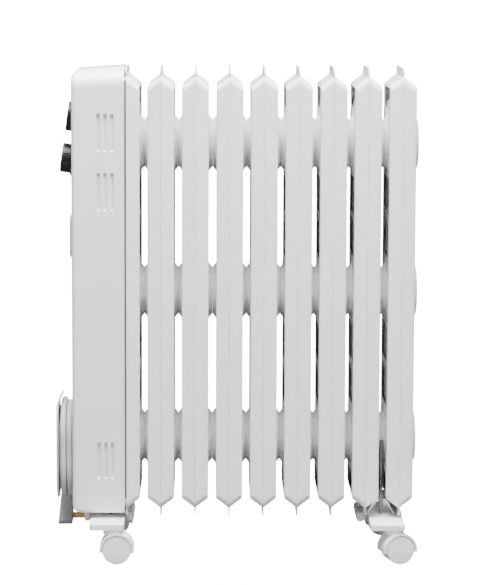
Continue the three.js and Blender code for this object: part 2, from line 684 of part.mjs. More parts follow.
// A hooded gland that turns the cord sideways along the housing's front, under the winding.
function cordGland() {
  const x = FIRST_FIN - LAYER_INNER;
  const front = x - 6.5;
  const [halfWidth, halfHeight] = GLAND_HOOD;
  const rear = HOUSING_FRONT_X - GAP;
  const profile = outline([
    [front, GLAND_Y - halfWidth],
    [rear, GLAND_Y - halfWidth],
    [rear, GLAND_Y + halfWidth],
    [front, GLAND_Y + halfWidth, 5],
  ]);
  const hood = alongZ(profile, GLAND_Z - halfHeight, GLAND_Z + halfHeight);
  const neck = rod('x', [HOUSING_FRONT_X, GLAND_Y, GLAND_Z], -1, HOUSING_WALL + 6, GLAND_NECK, 12);
  const sleeveTop = GLAND_Y - halfWidth + 1;
  const sleeveProfile = [[sleeveTop, 0], [sleeveTop, 4.6], [SLEEVE_END, 4.4], [SLEEVE_END, 0]];
  const sleeve = turned('y', [x, 0, GLAND_Z], sleeveProfile, 12);
  const bore = rod('y', [x, 0, GLAND_Z], SLEEVE_END - 1, GLAND_Y + 2, CORD_RADIUS + GAP, 12);
  return node('cord_gland', cut(sum([hood, neck, sleeve]), [bore]), FINISHES.plastic);
}

// The stretch of cord from the gland to the winding.
function cordLead() {
  const x = FIRST_FIN - LAYER_INNER;
  const start = new THREE.Vector3(x, GLAND_Y + 1, GLAND_Z);
  const end = new THREE.Vector3(x, LEAD_END, GLAND_Z);
  const run = tube(new THREE.LineCurve3(start, end), CORD_RADIUS, CORD_SIDES / 2, 2);
  return node('cord_lead', run, FINISHES.cord);
}

// The wound cord: the outside of all its turns.
function cordWinding() {
  const ring = stadium(WIND_Y, WIND_LOW, WIND_HIGH, WIND_RADIUS);
  ring.holes.push(stadium(WIND_Y, WIND_LOW, WIND_HIGH, WIND_INNER_RADIUS));
  const from = FIRST_FIN - LAYER_OUTER - CORD_RADIUS - 0.3;
  return node('cord_winding', alongX(ring, from, HOUSING_FRONT_X - GAP, 10), FINISHES.cord);
}

// The cord's tail leaves the winding's top in a wider bend and comes down into the plug.
function cordTail() {
  const x = FIRST_FIN - LAYER_OUTER;
  const middle = PLUG_Y - TAIL_RADIUS;
  const points = [];
  for (let angle = 105; angle <= 180; angle += 15) {
    const turn = THREE.MathUtils.degToRad(angle);
    const across = middle - TAIL_RADIUS * Math.cos(turn);
    points.push(new THREE.Vector3(x, across, TAIL_MIDDLE + TAIL_RADIUS * Math.sin(turn)));
  }
  points.push(new THREE.Vector3(x, PLUG_Y, 140));
  points.push(new THREE.Vector3(RELIEF_X, PLUG_Y, 124));
  points.push(new THREE.Vector3(RELIEF_X, PLUG_Y, RELIEF_TOP + GAP));
  const run = tube(new THREE.CatmullRomCurve3(points), CORD_RADIUS, CORD_SIDES / 2, 14);
  return node('cord_tail', run, FINISHES.cord);
}

function plugBody() {
  const half = PLUG_HALF_WIDTH;
  const profile = outline([
    [PLUG_FACE, PLUG_LOW, 1.5],
    [PLUG_FACE, PLUG_TOP, 2],
    [RELIEF_X - 6, PLUG_TOP, 2],
    [PLUG_FACE - 17, PLUG_LOW + 15.5, 3],
    [PLUG_FACE - 19.4, PLUG_LOW + 1.5, 2],
  ]);
  const face = outline([
    [PLUG_Y - half, PLUG_LOW, 6],
    [PLUG_Y + half, PLUG_LOW, 6],
    [PLUG_Y + half, PLUG_LOW + 35, 8],
    [PLUG_Y + 9, PLUG_TOP, 4],
    [PLUG_Y - 9, PLUG_TOP, 4],
    [PLUG_Y - half, PLUG_LOW + 35, 8],
  ]);
  const body = alongY(profile, PLUG_Y - half, PLUG_Y + half, 3)
    .intersect(alongX(face, PLUG_FACE - 24, PLUG_FACE + 1, 3));
  const reliefProfile = [[PLUG_TOP - 6, 0], [PLUG_TOP - 6, 6], [RELIEF_TOP, 4.4], [RELIEF_TOP, 0]];
  const relief = turned('z', [RELIEF_X, PLUG_Y, 0], reliefProfile, 12);
  const slots = PINS.map(({ y, z, wide, tall }) => block(
    [PLUG_FACE - PIN_ROOT - GAP, y - wide / 2 - GAP, z - tall / 2 - GAP],
    [PLUG_FACE + OVERCUT, y + wide / 2 + GAP, z + tall / 2 + GAP],
  ));
  return node('plug_body', cut(sum([body, relief]), slots), FINISHES.grey);
}

function plugPin({ name, y, z, wide, tall, length }) {
  const pin = block(
    [PLUG_FACE - PIN_ROOT, y - wide / 2, z - tall / 2],
    [PLUG_FACE + length, y + wide / 2, z + tall / 2],
  );
  return node(name, pin, FINISHES.brass);
}

// ---------------------------------------------------------------- feet

const CARRIER_LOW = CARRIER_TOP - CARRIER_THICKNESS;
const STEM_RADIUS = 4;
const STEM_GAP = 0.3;
const STEM_TOP = 50;
const NECK_RADIUS = 13;
const RAIL_LOW = 43;

// A rail with rounded ends and edges along one side of a saddle.
function rail(x0, x1) {
  const d = SADDLE_HALF_DEPTH;
  const section = rectangle(x0, RAIL_LOW, x1, SADDLE_TOP, 3.5);
  const plan = rectangle(x0, -d, x1, d, (x1 - x0) / 2 - 0.1);
  return alongY(section, -d, d, 2).intersect(alongZ(plan, RAIL_LOW - 1, SADDLE_TOP + 1, 3));
}

function saddlePlate(x0, x1) {
  const d = SADDLE_HALF_DEPTH;
  return block([x0, -d, SADDLE_TOP - SADDLE_SHEET], [x1, d, SADDLE_TOP]);
}

function leftSaddle() {
  const { centre } = LEFT_FOOT;
  const clear = CARRIER_WIDTH / 2 + 1.2;
  const outer = rail(centre - clear - 8.5, centre - clear);
  const inner = rail(centre + clear, centre + clear + 10);
  const plate = saddlePlate(centre - clear - 2, centre + clear + 2);
  const holes = boltHoles(LEFT_FOOT, SADDLE_TOP - 3, SADDLE_TOP + 3);
  return node('saddle_left', cut(sum([outer, plate, inner]), holes), FINISHES.enamel);
}

// The right saddle has an arch that sits between the roofs of the last two fins.
function rightSaddle() {
  const { centre, bolt } = RIGHT_FOOT;
  const clear = CARRIER_WIDTH / 2 + 4.5;
  const inner = rail(centre - clear - 11, centre - clear);
  const plate = saddlePlate(centre - clear - 2, centre + CARRIER_WIDTH / 2);
  const arch = (rise, halfTop, halfFoot) => alongY(outline([
    [bolt - halfFoot, SADDLE_TOP - SADDLE_SHEET], [bolt + halfFoot, SADDLE_TOP - SADDLE_SHEET],
    [bolt + halfTop, SADDLE_TOP + rise, 4], [bolt - halfTop, SADDLE_TOP + rise, 4],
  ]), -SADDLE_HALF_DEPTH, SADDLE_HALF_DEPTH);
  const hollow = alongY(outline([
    [bolt - 14.5, SADDLE_TOP - 2 * SADDLE_SHEET],
    [bolt + 14.5, SADDLE_TOP - 2 * SADDLE_SHEET],
    [bolt + 14.5, SADDLE_TOP + 3],
    [bolt + 6, SADDLE_TOP + 15, 4],
    [bolt - 6, SADDLE_TOP + 15, 4],
    [bolt - 14.5, SADDLE_TOP + 3],
  ]), -SADDLE_HALF_DEPTH - OVERCUT, SADDLE_HALF_DEPTH + OVERCUT);
  const holes = boltHoles(RIGHT_FOOT, SADDLE_TOP, SADDLE_TOP + 24);
  const whole = sum([inner, plate, arch(18, 8, 18.5)]);
  return node('saddle_right', cut(whole, [hollow, ...holes]), FINISHES.enamel);
}

// The name of a foot's corner; end is -1 at the near side and 1 at the far side.
const corner = (foot, end) => `${foot.name}_${end < 0 ? 'near' : 'far'}`;

// A plastic arm that carries one caster.
function casterCarrier(foot, end) {
  const half = CARRIER_WIDTH / 2;
  const [y0, y1] = [end * CARRIER_NEAR, end * CARRIER_FAR].sort((a, b) => a - b);
  const plan = rectangle(foot.centre - half, y0, foot.centre + half, y1, 4);
  const across = rectangle(foot.centre - half, CARRIER_LOW, foot.centre + half, CARRIER_TOP, 1.5);
  const body = alongZ(plan, CARRIER_LOW, CARRIER_TOP, 3).intersect(alongY(across, y0, y1, 2));
  const below = CARRIER_LOW - OVERCUT;
  const stemPlace = [foot.swivel, end * SWIVEL_Y, 0];
  const socket = rod('z', stemPlace, below, STEM_TOP + GAP, STEM_RADIUS + STEM_GAP, 12);
  const boltPlace = [foot.bolt, end * U_BOLT_HALF_SPAN, 0];
  const bolt = rod('z', boltPlace, below, CARRIER_TOP + OVERCUT, BOLT_HOLE_RADIUS, 12);
  return node(`caster_carrier_${corner(foot, end)}`, cut(body, [socket, bolt]), FINISHES.whitePlastic);
}

// A threaded rod bent over the lowest oil passage, with both legs down through the foot.
function uBolt(foot) {
  const height = HUB_HEIGHTS[0];
  const bolt = bentRod(U_BOLT_HALF_SPAN, height - U_BOLT_LOW, U_BOLT_RADIUS, 4, 12);
  const place = new THREE.Matrix4().makeRotationY(-Math.PI / 2).setPosition(foot.bolt, 0, height);
  return node(`u_bolt_${foot.name}`, bolt, FINISHES.zinc, place);
}

function wingNut(foot, end) {
  const place = [foot.bolt, end * U_BOLT_HALF_SPAN, 0];
  const top = CARRIER_LOW - GAP;
  const boss = turned('z', place, [[top, 0], [top, 6.5], [top - 7, 4.6], [top - 7, 0]], 12);
  const wing = (side) => block(
    [foot.bolt + Math.min(side * 3, side * 12), place[1] - 1.2, top - 8],
    [foot.bolt + Math.max(side * 3, side * 12), place[1] + 1.2, top - 1],
  );
  const bore = rod('z', place, top - 9, top + 1, U_BOLT_RADIUS + GAP, 10);
  return node(`wing_nut_${corner(foot, end)}`, cut(sum([boss, wing(-1), wing(1)]), [bore]), FINISHES.zinc);
}

// Casters. Each is drawn about its swivel axis with the wheels trailing along +X, then turned.
const REST_TURNS = { left_near: 0, right_near: 15, right_far: 180, left_far: 195 };

function casterPlace(foot, end) {
  const turn = THREE.MathUtils.degToRad(REST_TURNS[corner(foot, end)]);
  return new THREE.Matrix4().makeRotationZ(turn).setPosition(foot.swivel, end * SWIVEL_Y, 0);
}

function casterHood(foot, end) {
  const half = WHEEL_SPACING / 2 + WHEEL_WIDTH + 0.6;
  const z = WHEEL_RADIUS;
  const profile = new THREE.Shape();
  profile.absarc(TRAIL, z, FENDER_OUTER, -0.12, Math.PI + 0.12);
  profile.absarc(TRAIL, z, FENDER_INNER, Math.PI + 0.12, -0.12, true);
  profile.closePath();
  const fender = alongY(profile, -half, half, 7);
  const webHalf = WHEEL_SPACING / 2 - 0.5;
  const web = rod('y', [TRAIL, 0, z], -webHalf, webHalf, FENDER_INNER + 1, 14);
  const floor = block([-40, -30, -10], [60, 30, z - 7]);
  const neck = rod('z', [0, 0, 0], z + FENDER_INNER + 0.5, CARRIER_LOW - GAP, NECK_RADIUS, 14);
  const stem = rod('z', [0, 0, 0], z + FENDER_INNER + 1, STEM_TOP, STEM_RADIUS, 8);
  const eye = rod('y', [TRAIL, 0, z], -half, half, SHAFT_RADIUS + GAP, 8);
  const hood = cut(sum([fender, web, neck, stem]), [floor, eye]);
  return node(`caster_hood_${corner(foot, end)}`, hood, FINISHES.whitePlastic, casterPlace(foot, end));
}

// Twin wheels on one axle. Each rim is a ring of flats, and one flat stands on the floor.
function casterWheels(foot, end) {
  const z = WHEEL_RADIUS;
  const inner = WHEEL_SPACING / 2;
  const outer = inner + WHEEL_WIDTH;
  const rim = WHEEL_RADIUS / Math.cos(Math.PI / WHEEL_FLATS);
  const disc = (side) => turned('y', [0, 0, 0], [
    [side * inner, 0],
    [side * inner, rim - 0.8],
    [side * (inner + 1.5), rim],
    [side * (outer - 2), rim],
    [side * outer, rim - 2.5],
    [side * (outer + 0.3), 0],
  ], WHEEL_FLATS);
  const axle = rod('y', [0, 0, 0], -inner - 1, inner + 1, SHAFT_RADIUS, 8);
  const wheels = sum([disc(-1), disc(1), axle]);
  const flatDown = new THREE.Matrix4().makeRotationY(Math.PI / WHEEL_FLATS).setPosition(TRAIL, 0, z);
  const place = casterPlace(foot, end).multiply(flatDown);
  return node(`caster_wheels_${corner(foot, end)}`, wheels, FINISHES.whitePlastic, place);
}

function feet() {
  const group = new THREE.Group();
  group.add(leftSaddle(), rightSaddle());
  for (const foot of [LEFT_FOOT, RIGHT_FOOT]) {
    group.add(uBolt(foot));
    for (const end of [-1, 1]) {
      group.add(wingNut(foot, end), casterCarrier(foot, end), casterHood(foot, end), casterWheels(foot, end));
    }
  }
  return group;
}

// ---------------------------------------------------------------- the heater

const heater = new THREE.Group();
heater.add(fins(), fillerPlug(), heatingElement(), elementFlange(), thermalCutout());
heater.add(housing(), chassis(), controlPanel(), badge(), terminalBlock());
heater.add(knob('thermostat_knob', KNOB_SPACING / 2), knob('power_knob', -KNOB_SPACING / 2));
heater.add(control('thermostat', KNOB_SPACING / 2, [20, 34, 30], FINISHES.ceramic));
heater.add(control('power_switch', -KNOB_SPACING / 2, [24, 26, 26], FINISHES.black));
heater.add(cordWinder(), cordGland(), cordLead(), cordWinding(), cordTail(), plugBody());
heater.add(...PINS.map(plugPin));
heater.add(feet());

export default heater;
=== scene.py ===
"""Oil filled radiator heater: nine pressed fins, a control housing with two knobs and a wound
mains cord at one end, and two saddle feet on four twin-wheel casters.
Metres, +Z up, X runs along the fins away from the control housing, floor at z = 0."""

import math
import bmesh
import bpy
from mathutils import Matrix, Vector


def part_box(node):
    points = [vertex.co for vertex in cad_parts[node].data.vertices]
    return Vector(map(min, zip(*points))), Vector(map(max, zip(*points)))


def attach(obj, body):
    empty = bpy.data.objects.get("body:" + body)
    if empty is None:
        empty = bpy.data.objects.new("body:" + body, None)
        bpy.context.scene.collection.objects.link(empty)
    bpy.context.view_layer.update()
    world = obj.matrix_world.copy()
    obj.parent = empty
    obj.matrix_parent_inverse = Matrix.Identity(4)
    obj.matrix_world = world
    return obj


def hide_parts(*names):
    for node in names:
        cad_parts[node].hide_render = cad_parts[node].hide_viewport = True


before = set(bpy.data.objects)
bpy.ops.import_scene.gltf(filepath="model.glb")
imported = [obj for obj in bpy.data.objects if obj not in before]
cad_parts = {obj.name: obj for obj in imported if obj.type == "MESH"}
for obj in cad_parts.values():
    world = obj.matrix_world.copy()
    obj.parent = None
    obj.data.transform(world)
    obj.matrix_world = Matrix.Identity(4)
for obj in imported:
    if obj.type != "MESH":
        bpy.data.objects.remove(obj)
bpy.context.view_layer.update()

MM = 0.001
BODY = "heater"

# ------------------------------------------------------------------ sizes

FIN_COUNT = 9
FIN_PITCH = 44.5 * MM
FIN_HALF_WIDTH = 17.25 * MM
FIN_HALF_DEPTH = 65 * MM
HIDDEN_HALF_DEPTH = 62 * MM
FIN_SHEET = 0.9 * MM
SEAM = 0.15 * MM                  # half the gap between a fin's two pressed halves
SHOULDER = (78.6 * MM, 617 * MM)
APEX = (66 * MM, 629 * MM)
FLANGE = (55.3 * MM, 640 * MM)
FLANGE_HALF_DEPTH = 62 * MM
CROWN = 1.8 * MM
HUB_HEIGHTS = (152 * MM, 346 * MM, 540 * MM)
HUB_RADIUS = 37 * MM
WAIST_RADIUS = 31 * MM
CHAMBER = (14.2 * MM, 47 * MM, 100 * MM, 596 * MM)
END_BOSS = 6 * MM
SLOT_HALF_DEPTH = 49 * MM
SLOT_SPANS = ((82, 109), (199, 245), (256.5, 302.5), (393.5, 439.5), (451, 497), (587, 614))

FIRST_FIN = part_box("fin_1_rear_shell")[0][0] - SEAM
HOUSING_LOW, HOUSING_HIGH = (Vector(corner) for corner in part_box("control_housing"))
HOUSING_WALL = 4.2 * MM
GROOVE_OFFSETS = (35.7, 26.9, 18.1)
GROOVE_SPANS = ((531, 582), (455, 506), (105, 155))
GROOVE_WIDTH = 4.9 * MM
GROOVE_DEPTH = 3.6 * MM

PANEL_TILT = math.radians(8)
PANEL_MIDDLE = Vector((FIRST_FIN - 63.8 * MM, 0, 545 * MM))
KNOB_SPACING = 54.6 * MM
KNOB_SIDES = 96                   # every other side is sunk, which leaves 48 ribs
GRIP_RADIUS = 19.2 * MM
GRIP_FACE = 18.8 * MM             # how far the grip stands off the panel
SKIRT_RADIUS = 22.5 * MM
SKIRT_FACE = 5.2 * MM
POINTER_WIDTH = 1.8 * MM

CORD_DIAMETER = 7.5 * MM
LAYERS = (75.1 * MM, 83.2 * MM)
WIND_Y = -16 * MM
WIND_LOW = 116.5 * MM
WIND_HIGH = 161.5 * MM
TURN_RADII = (37.5 * MM, 30 * MM, 22.5 * MM)
CURL_FROM = 199.3 * MM            # where the winder's plate starts to curl outwards
PLUG_Y = 42 * MM
PLUG_TOP = 79 * MM
TAIL_RADIUS = 40 * MM
TAIL_MIDDLE = 160 * MM
RELIEF_TOP = 107 * MM
RELIEF_X = FIRST_FIN - 83.4 * MM

SWIVEL_Y = 87 * MM
TRAIL = 5 * MM
WHEEL_RADIUS = 18.5 * MM
WHEEL_FACE = 15.2 * MM
HOOD_HALF_WIDTH = 15.8 * MM
HOOD_INNER = 19.4 * MM
HOOD_OUTER = 22.4 * MM
REST_TURNS = {"left_near": 0, "right_near": 15, "right_far": 180, "left_far": 195}
SWIVEL_X = {
    "left": FIRST_FIN - 17 * MM,
    "right": FIRST_FIN + (FIN_COUNT - 1) * FIN_PITCH - 8.4 * MM,
}


# ------------------------------------------------------------------ camera

def aim_camera():
    """A long lens a little above the heater's top, looking slightly down along +Y."""
    data = bpy.data.cameras.new("camera")
    data.lens = 158.4
    data.sensor_width = 36
    data.sensor_fit = "AUTO"
    data.clip_end = 50
    camera = bpy.data.objects.new("camera", data)
    bpy.context.collection.objects.link(camera)
    pitch, yaw, roll = (math.radians(angle) for angle in (7.142, 0.724, 0.216))
    facing = Matrix.Rotation(-yaw, 4, "Z") @ Matrix.Rotation(math.pi / 2 - pitch, 4, "X")
    spin = Matrix.Rotation(roll, 4, "Z")
    camera.matrix_world = Matrix.Translation((-0.0339, -3.365, 0.7644)) @ facing @ spin
    bpy.context.scene.camera = camera


# ------------------------------------------------------------------ shaping

def deselect():
    bpy.ops.object.select_all(action="DESELECT")


def pick(piece):
    deselect()
    piece.select_set(True)
    bpy.context.view_layer.objects.active = piece
    return piece


def set_place(piece):
    """Puts the piece's turn, size and place into its mesh."""
    pick(piece)
    bpy.ops.object.transform_apply(location=True, rotation=True, scale=True)
    return piece


def box(name, low, high):
    deselect()
    low, high = Vector(low), Vector(high)
    bpy.ops.mesh.primitive_cube_add(size=1, location=(low + high) / 2)
    piece = bpy.context.object
    piece.name = name
    piece.scale = high - low
    return set_place(piece)


def disc(name, axis, place, start, end, radius, sides=64):
    """A round bar along an axis through place, from start to end along it."""
    deselect()
    direction = Vector(((axis == "X"), (axis == "Y"), (axis == "Z")))
    middle = Vector(place) + direction * (start + end) / 2
    turn = {"X": (0, math.pi / 2, 0), "Y": (math.pi / 2, 0, 0), "Z": (0, 0, 0)}[axis]
    bpy.ops.mesh.primitive_cylinder_add(
        vertices=sides, radius=radius, depth=abs(end - start), location=middle, rotation=turn)
    piece = bpy.context.object
    piece.name = name
    return set_place(piece)


def select_in(piece, kind, test):
    """In edit mode, selects the corners, edges or faces whose middle passes the test."""
    pick(piece)
    bpy.ops.object.mode_set(mode="EDIT")
    bpy.ops.mesh.select_mode(type=kind)
    bpy.ops.mesh.select_all(action="DESELECT")
    shape = bmesh.from_edit_mesh(piece.data)
    if kind == "VERT":
        for corner in shape.verts:
            corner.select_set(test(corner.co))
    elif kind == "EDGE":
        for edge in shape.edges:
            ends = [corner.co for corner in edge.verts]
            edge.select_set(test((ends[0] + ends[1]) / 2, (ends[1] - ends[0]).normalized()))
    else:
        for face in shape.faces:
            face.select_set(test(face.calc_center_median(), face.normal))
    shape.select_flush_mode()
    bmesh.update_edit_mesh(piece.data)


def leave_edit():
    bpy.ops.object.mode_set(mode="OBJECT")


def shift(piece, test, offset):
    select_in(piece, "VERT", test)
    bpy.ops.transform.translate(value=offset)
    leave_edit()


def round_edges(piece, test, width, segments=4):
    select_in(piece, "EDGE", test)
    bpy.ops.mesh.bevel(offset=width, offset_type="OFFSET", segments=segments, affect="EDGES")
    leave_edit()


def round_by(piece, widest, segments, radius):
    """Rounds every edge by the radius that its middle and direction give."""
    weights = piece.data.attributes.new("bevel_weight_edge", "FLOAT", "EDGE")
    for edge in piece.data.edges:
        ends = [piece.data.vertices[corner].co for corner in edge.vertices]
        amount = radius((ends[0] + ends[1]) / 2, (ends[1] - ends[0]).normalized())
        weights.data[edge.index].value = amount / widest
    rounding = piece.modifiers.new("round", "BEVEL")
    rounding.limit_method = "WEIGHT"
    rounding.width = widest
    rounding.segments = segments
    finish_modifier(piece, "round")


def push(piece, test, offset, scale=None):
    """Extrudes the faces that pass the test, and may scale the new end about its own middle."""
    select_in(piece, "FACE", test)
    bpy.ops.mesh.extrude_region_move(TRANSFORM_OT_translate={"value": offset})
    if scale:
        bpy.ops.transform.resize(value=scale)
    leave_edit()


def finish_modifier(piece, name):
    pick(piece)
    bpy.ops.object.modifier_apply(modifier=name)


def soften(piece, width, segments=2, angle=30):
    """A small round on every sharp edge."""
    bevel = piece.modifiers.new("round", "BEVEL")
    bevel.width = width
    bevel.segments = segments
    bevel.limit_method = "ANGLE"
    bevel.angle_limit = math.radians(angle)
    bevel.harden_normals = False
    finish_modifier(piece, "round")
    return piece


def cut_with(piece, cutter, operation="DIFFERENCE"):
    cutting = piece.modifiers.new("cut", "BOOLEAN")
    cutting.object = cutter
    cutting.operation = operation
    cutting.solver = "EXACT"
    finish_modifier(piece, "cut")
    bpy.data.objects.remove(cutter, do_unlink=True)
    return piece


def thicken(piece, thickness):
    """Gives an open skin its wall, inwards."""
    wall = piece.modifiers.new("wall", "SOLIDIFY")
    wall.thickness = thickness
    wall.offset = -1
    wall.use_even_offset = True
    finish_modifier(piece, "wall")
    return piece


def joined(name, pieces):
    deselect()
    for piece in pieces:
        piece.select_set(True)
    bpy.context.view_layer.objects.active = pieces[0]
    bpy.ops.object.join()
    whole = bpy.context.object
    whole.name = name
    return whole


def face_out(piece):
    pick(piece)
    bpy.ops.object.mode_set(mode="EDIT")
    bpy.ops.mesh.select_all(action="SELECT")
    bpy.ops.mesh.remove_doubles(threshold=1e-6)
    bpy.ops.mesh.normals_make_consistent(inside=False)
    leave_edit()
    return piece


def smooth(piece, angle=32):
    """Smooth shading that leaves the large flat faces flat."""
    pick(piece)
    bpy.ops.object.shade_smooth_by_angle(angle=math.radians(angle))
    flats = piece.modifiers.new("flats", "WEIGHTED_NORMAL")
    flats.keep_sharp = True
    flats.weight = 60
    finish_modifier(piece, "flats")
    return piece


def copy_of(piece, name, move=(0, 0, 0)):
    """A copy with its own mesh, moved in its mesh."""
    twin = piece.copy()
    twin.data = piece.data.copy()
    twin.name = name
    bpy.context.collection.objects.link(twin)
    twin.location = move
    return set_place(twin)


def turned_copy(piece, name, matrix):
    twin = piece.copy()
    twin.data = piece.data.copy()
    twin.name = name
    bpy.context.collection.objects.link(twin)
    twin.matrix_world = matrix
    return set_place(twin)


def refined(node, width, segments=2, angle=25):
    """A copy of a CAD node's mesh with its triangles joined up and its sharp edges rounded."""
    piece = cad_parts[node].copy()
    piece.data = piece.data.copy()
    piece.name = node + "_finished"
    bpy.context.collection.objects.link(piece)
    piece.parent = None
    piece.matrix_world = Matrix()
    pick(piece)
    bpy.ops.object.mode_set(mode="EDIT")
    bpy.ops.mesh.select_all(action="SELECT")
    bpy.ops.mesh.remove_doubles(threshold=1e-5)
    bpy.ops.mesh.dissolve_limited(angle_limit=math.radians(1))
    leave_edit()
    if width:
        soften(piece, width, segments, angle)
    return smooth(piece)


def fit(piece, body, material, *nodes):
    """Dresses the piece, rides it on its body and lets it stand for its CAD nodes."""
    piece.data.materials.clear()
    piece.data.materials.append(material)
    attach(piece, body)
    if nodes:
        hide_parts(*nodes)
    return piece


# ------------------------------------------------------------------ finishes

def node_group(name, inputs, outputs):
    group = bpy.data.node_groups.new(name, "ShaderNodeTree")
    for label, kind, value in inputs:
        socket = group.interface.new_socket(label, in_out="INPUT", socket_type=kind)
        socket.default_value = value
    for label, kind in outputs:
        group.interface.new_socket(label, in_out="OUTPUT", socket_type=kind)
    start = group.nodes.new("NodeGroupInput")
    end = group.nodes.new("NodeGroupOutput")
    return group, start, end


def noise(group, vector, scale, detail=3, roughness=0.5):
    texture = group.nodes.new("ShaderNodeTexNoise")
    texture.inputs["Detail"].default_value = detail
    texture.inputs["Roughness"].default_value = roughness
    group.links.new(vector, texture.inputs["Vector"])
    if isinstance(scale, (int, float)):
        texture.inputs["Scale"].default_value = scale
    else:
        group.links.new(scale, texture.inputs["Scale"])
    return texture.outputs["Fac"]


def arithmetic(group, operation, first, second, clamp=False):
    step = group.nodes.new("ShaderNodeMath")
    step.operation = operation
    step.use_clamp = clamp
    for socket, value in zip(step.inputs, (first, second)):
        if isinstance(value, (int, float)):
            socket.default_value = value
        else:
            group.links.new(value, socket)
    return step.outputs["Value"]


def mixed(group, factor, first, second, blend="MIX"):
    mix = group.nodes.new("ShaderNodeMix")
    mix.data_type = "RGBA"
    mix.blend_type = blend
    for socket, value in ((mix.inputs[0], factor), (mix.inputs[6], first), (mix.inputs[7], second)):
        if isinstance(value, (int, float)):
            socket.default_value = value
        elif isinstance(value, tuple):
            socket.default_value = value
        else:
            group.links.new(value, socket)
    return mix.outputs[2]


def make_surface_group():
    """Fine grain, slow colour drift, settled dust and rubbed edges for any moulded or painted part."""
    group, start, end = node_group(
        "surface_wear",
        [("Colour", "NodeSocketColor", (0.8, 0.8, 0.8, 1)),
         ("Worn Colour", "NodeSocketColor", (0.9, 0.9, 0.9, 1)),
         ("Drift", "NodeSocketFloat", 0.03), ("Edge Wear", "NodeSocketFloat", 0.3),
         ("Dust", "NodeSocketFloat", 0.1), ("Grain Scale", "NodeSocketFloat", 900.0),
         ("Roughness", "NodeSocketFloat", 0.4), ("Roughness Spread", "NodeSocketFloat", 0.08)],
        [("Colour", "NodeSocketColor"), ("Roughness", "NodeSocketFloat"), ("Height", "NodeSocketFloat")])
    place = group.nodes.new("ShaderNodeTexCoord").outputs["Object"]
    geometry = group.nodes.new("ShaderNodeNewGeometry")
    slow = noise(group, place, 9.0, 4)
    fine = noise(group, place, start.outputs["Grain Scale"], 2)
    patch = noise(group, place, 60.0, 5, 0.6)
    drift = arithmetic(group, "MULTIPLY", arithmetic(group, "SUBTRACT", slow, 0.5), start.outputs["Drift"])
    tint = group.nodes.new("ShaderNodeHueSaturation")
    group.links.new(start.outputs["Colour"], tint.inputs["Color"])
    group.links.new(arithmetic(group, "ADD", drift, 1.0), tint.inputs["Value"])
    edge = arithmetic(group, "SUBTRACT", geometry.outputs["Pointiness"], 0.53)
    edge = arithmetic(group, "MULTIPLY", edge, 9.0, clamp=True)
    rubbed = arithmetic(group, "MULTIPLY", patch, start.outputs["Edge Wear"])
    edge = arithmetic(group, "MULTIPLY", edge, rubbed)
    worn = mixed(group, edge, tint.outputs["Color"], start.outputs["Worn Colour"])
    split = group.nodes.new("ShaderNodeSeparateXYZ")
    group.links.new(geometry.outputs["Normal"], split.inputs[0])
    upward = arithmetic(group, "MULTIPLY", split.outputs["Z"], start.outputs["Dust"], clamp=True)
    settled = arithmetic(group, "MULTIPLY", upward, patch)
    dusty = mixed(group, settled, worn, (0.74, 0.72, 0.68, 1))
    group.links.new(dusty, end.inputs["Colour"])
    spread = arithmetic(group, "SUBTRACT", arithmetic(group, "ADD", patch, settled), 0.5)
    spread = arithmetic(group, "MULTIPLY", spread, start.outputs["Roughness Spread"])
    sheen = arithmetic(group, "ADD", spread, start.outputs["Roughness"], clamp=True)
    group.links.new(sheen, end.inputs["Roughness"])
    grain = arithmetic(group, "MULTIPLY", fine, 0.5)
    swell = arithmetic(group, "MULTIPLY", patch, 0.3)
    height = arithmetic(group, "ADD", grain, swell)
    group.links.new(height, end.inputs["Height"])
    return group


SURFACE = make_surface_group()


def finish(name, colour, roughness, metallic=0.0, drift=0.04, wear=0.3, worn=None, dust=0.1,
           grain=900.0, bump=0.04, coat=0.0, spread=0.08, specular=0.5):
    material = bpy.data.materials.new(name)
    material.use_nodes = True
    tree = material.node_tree
    shader = tree.nodes["Principled BSDF"]
    surface = tree.nodes.new("ShaderNodeGroup")
    surface.node_tree = SURFACE
    brighter = tuple(min(1.0, part * 1.15 + 0.02) for part in colour)
    settings = {
        "Colour": (*colour, 1), "Worn Colour": (*(worn or brighter), 1), "Drift": drift, "Edge Wear": wear,
        "Dust": dust, "Grain Scale": grain, "Roughness": roughness, "Roughness Spread": spread,
    }
    for label, value in settings.items():
        surface.inputs[label].default_value = value
    relief = tree.nodes.new("ShaderNodeBump")
    relief.inputs["Strength"].default_value = bump
    relief.inputs["Distance"].default_value = 0.0006
    tree.links.new(surface.outputs["Colour"], shader.inputs["Base Color"])
    tree.links.new(surface.outputs["Roughness"], shader.inputs["Roughness"])
    tree.links.new(surface.outputs["Height"], relief.inputs["Height"])
    tree.links.new(relief.outputs["Normal"], shader.inputs["Normal"])
    shader.inputs["Metallic"].default_value = metallic
    shader.inputs["Coat Weight"].default_value = coat
    shader.inputs["Coat Roughness"].default_value = 0.25
    shader.inputs["Specular IOR Level"].default_value = specular
    return material


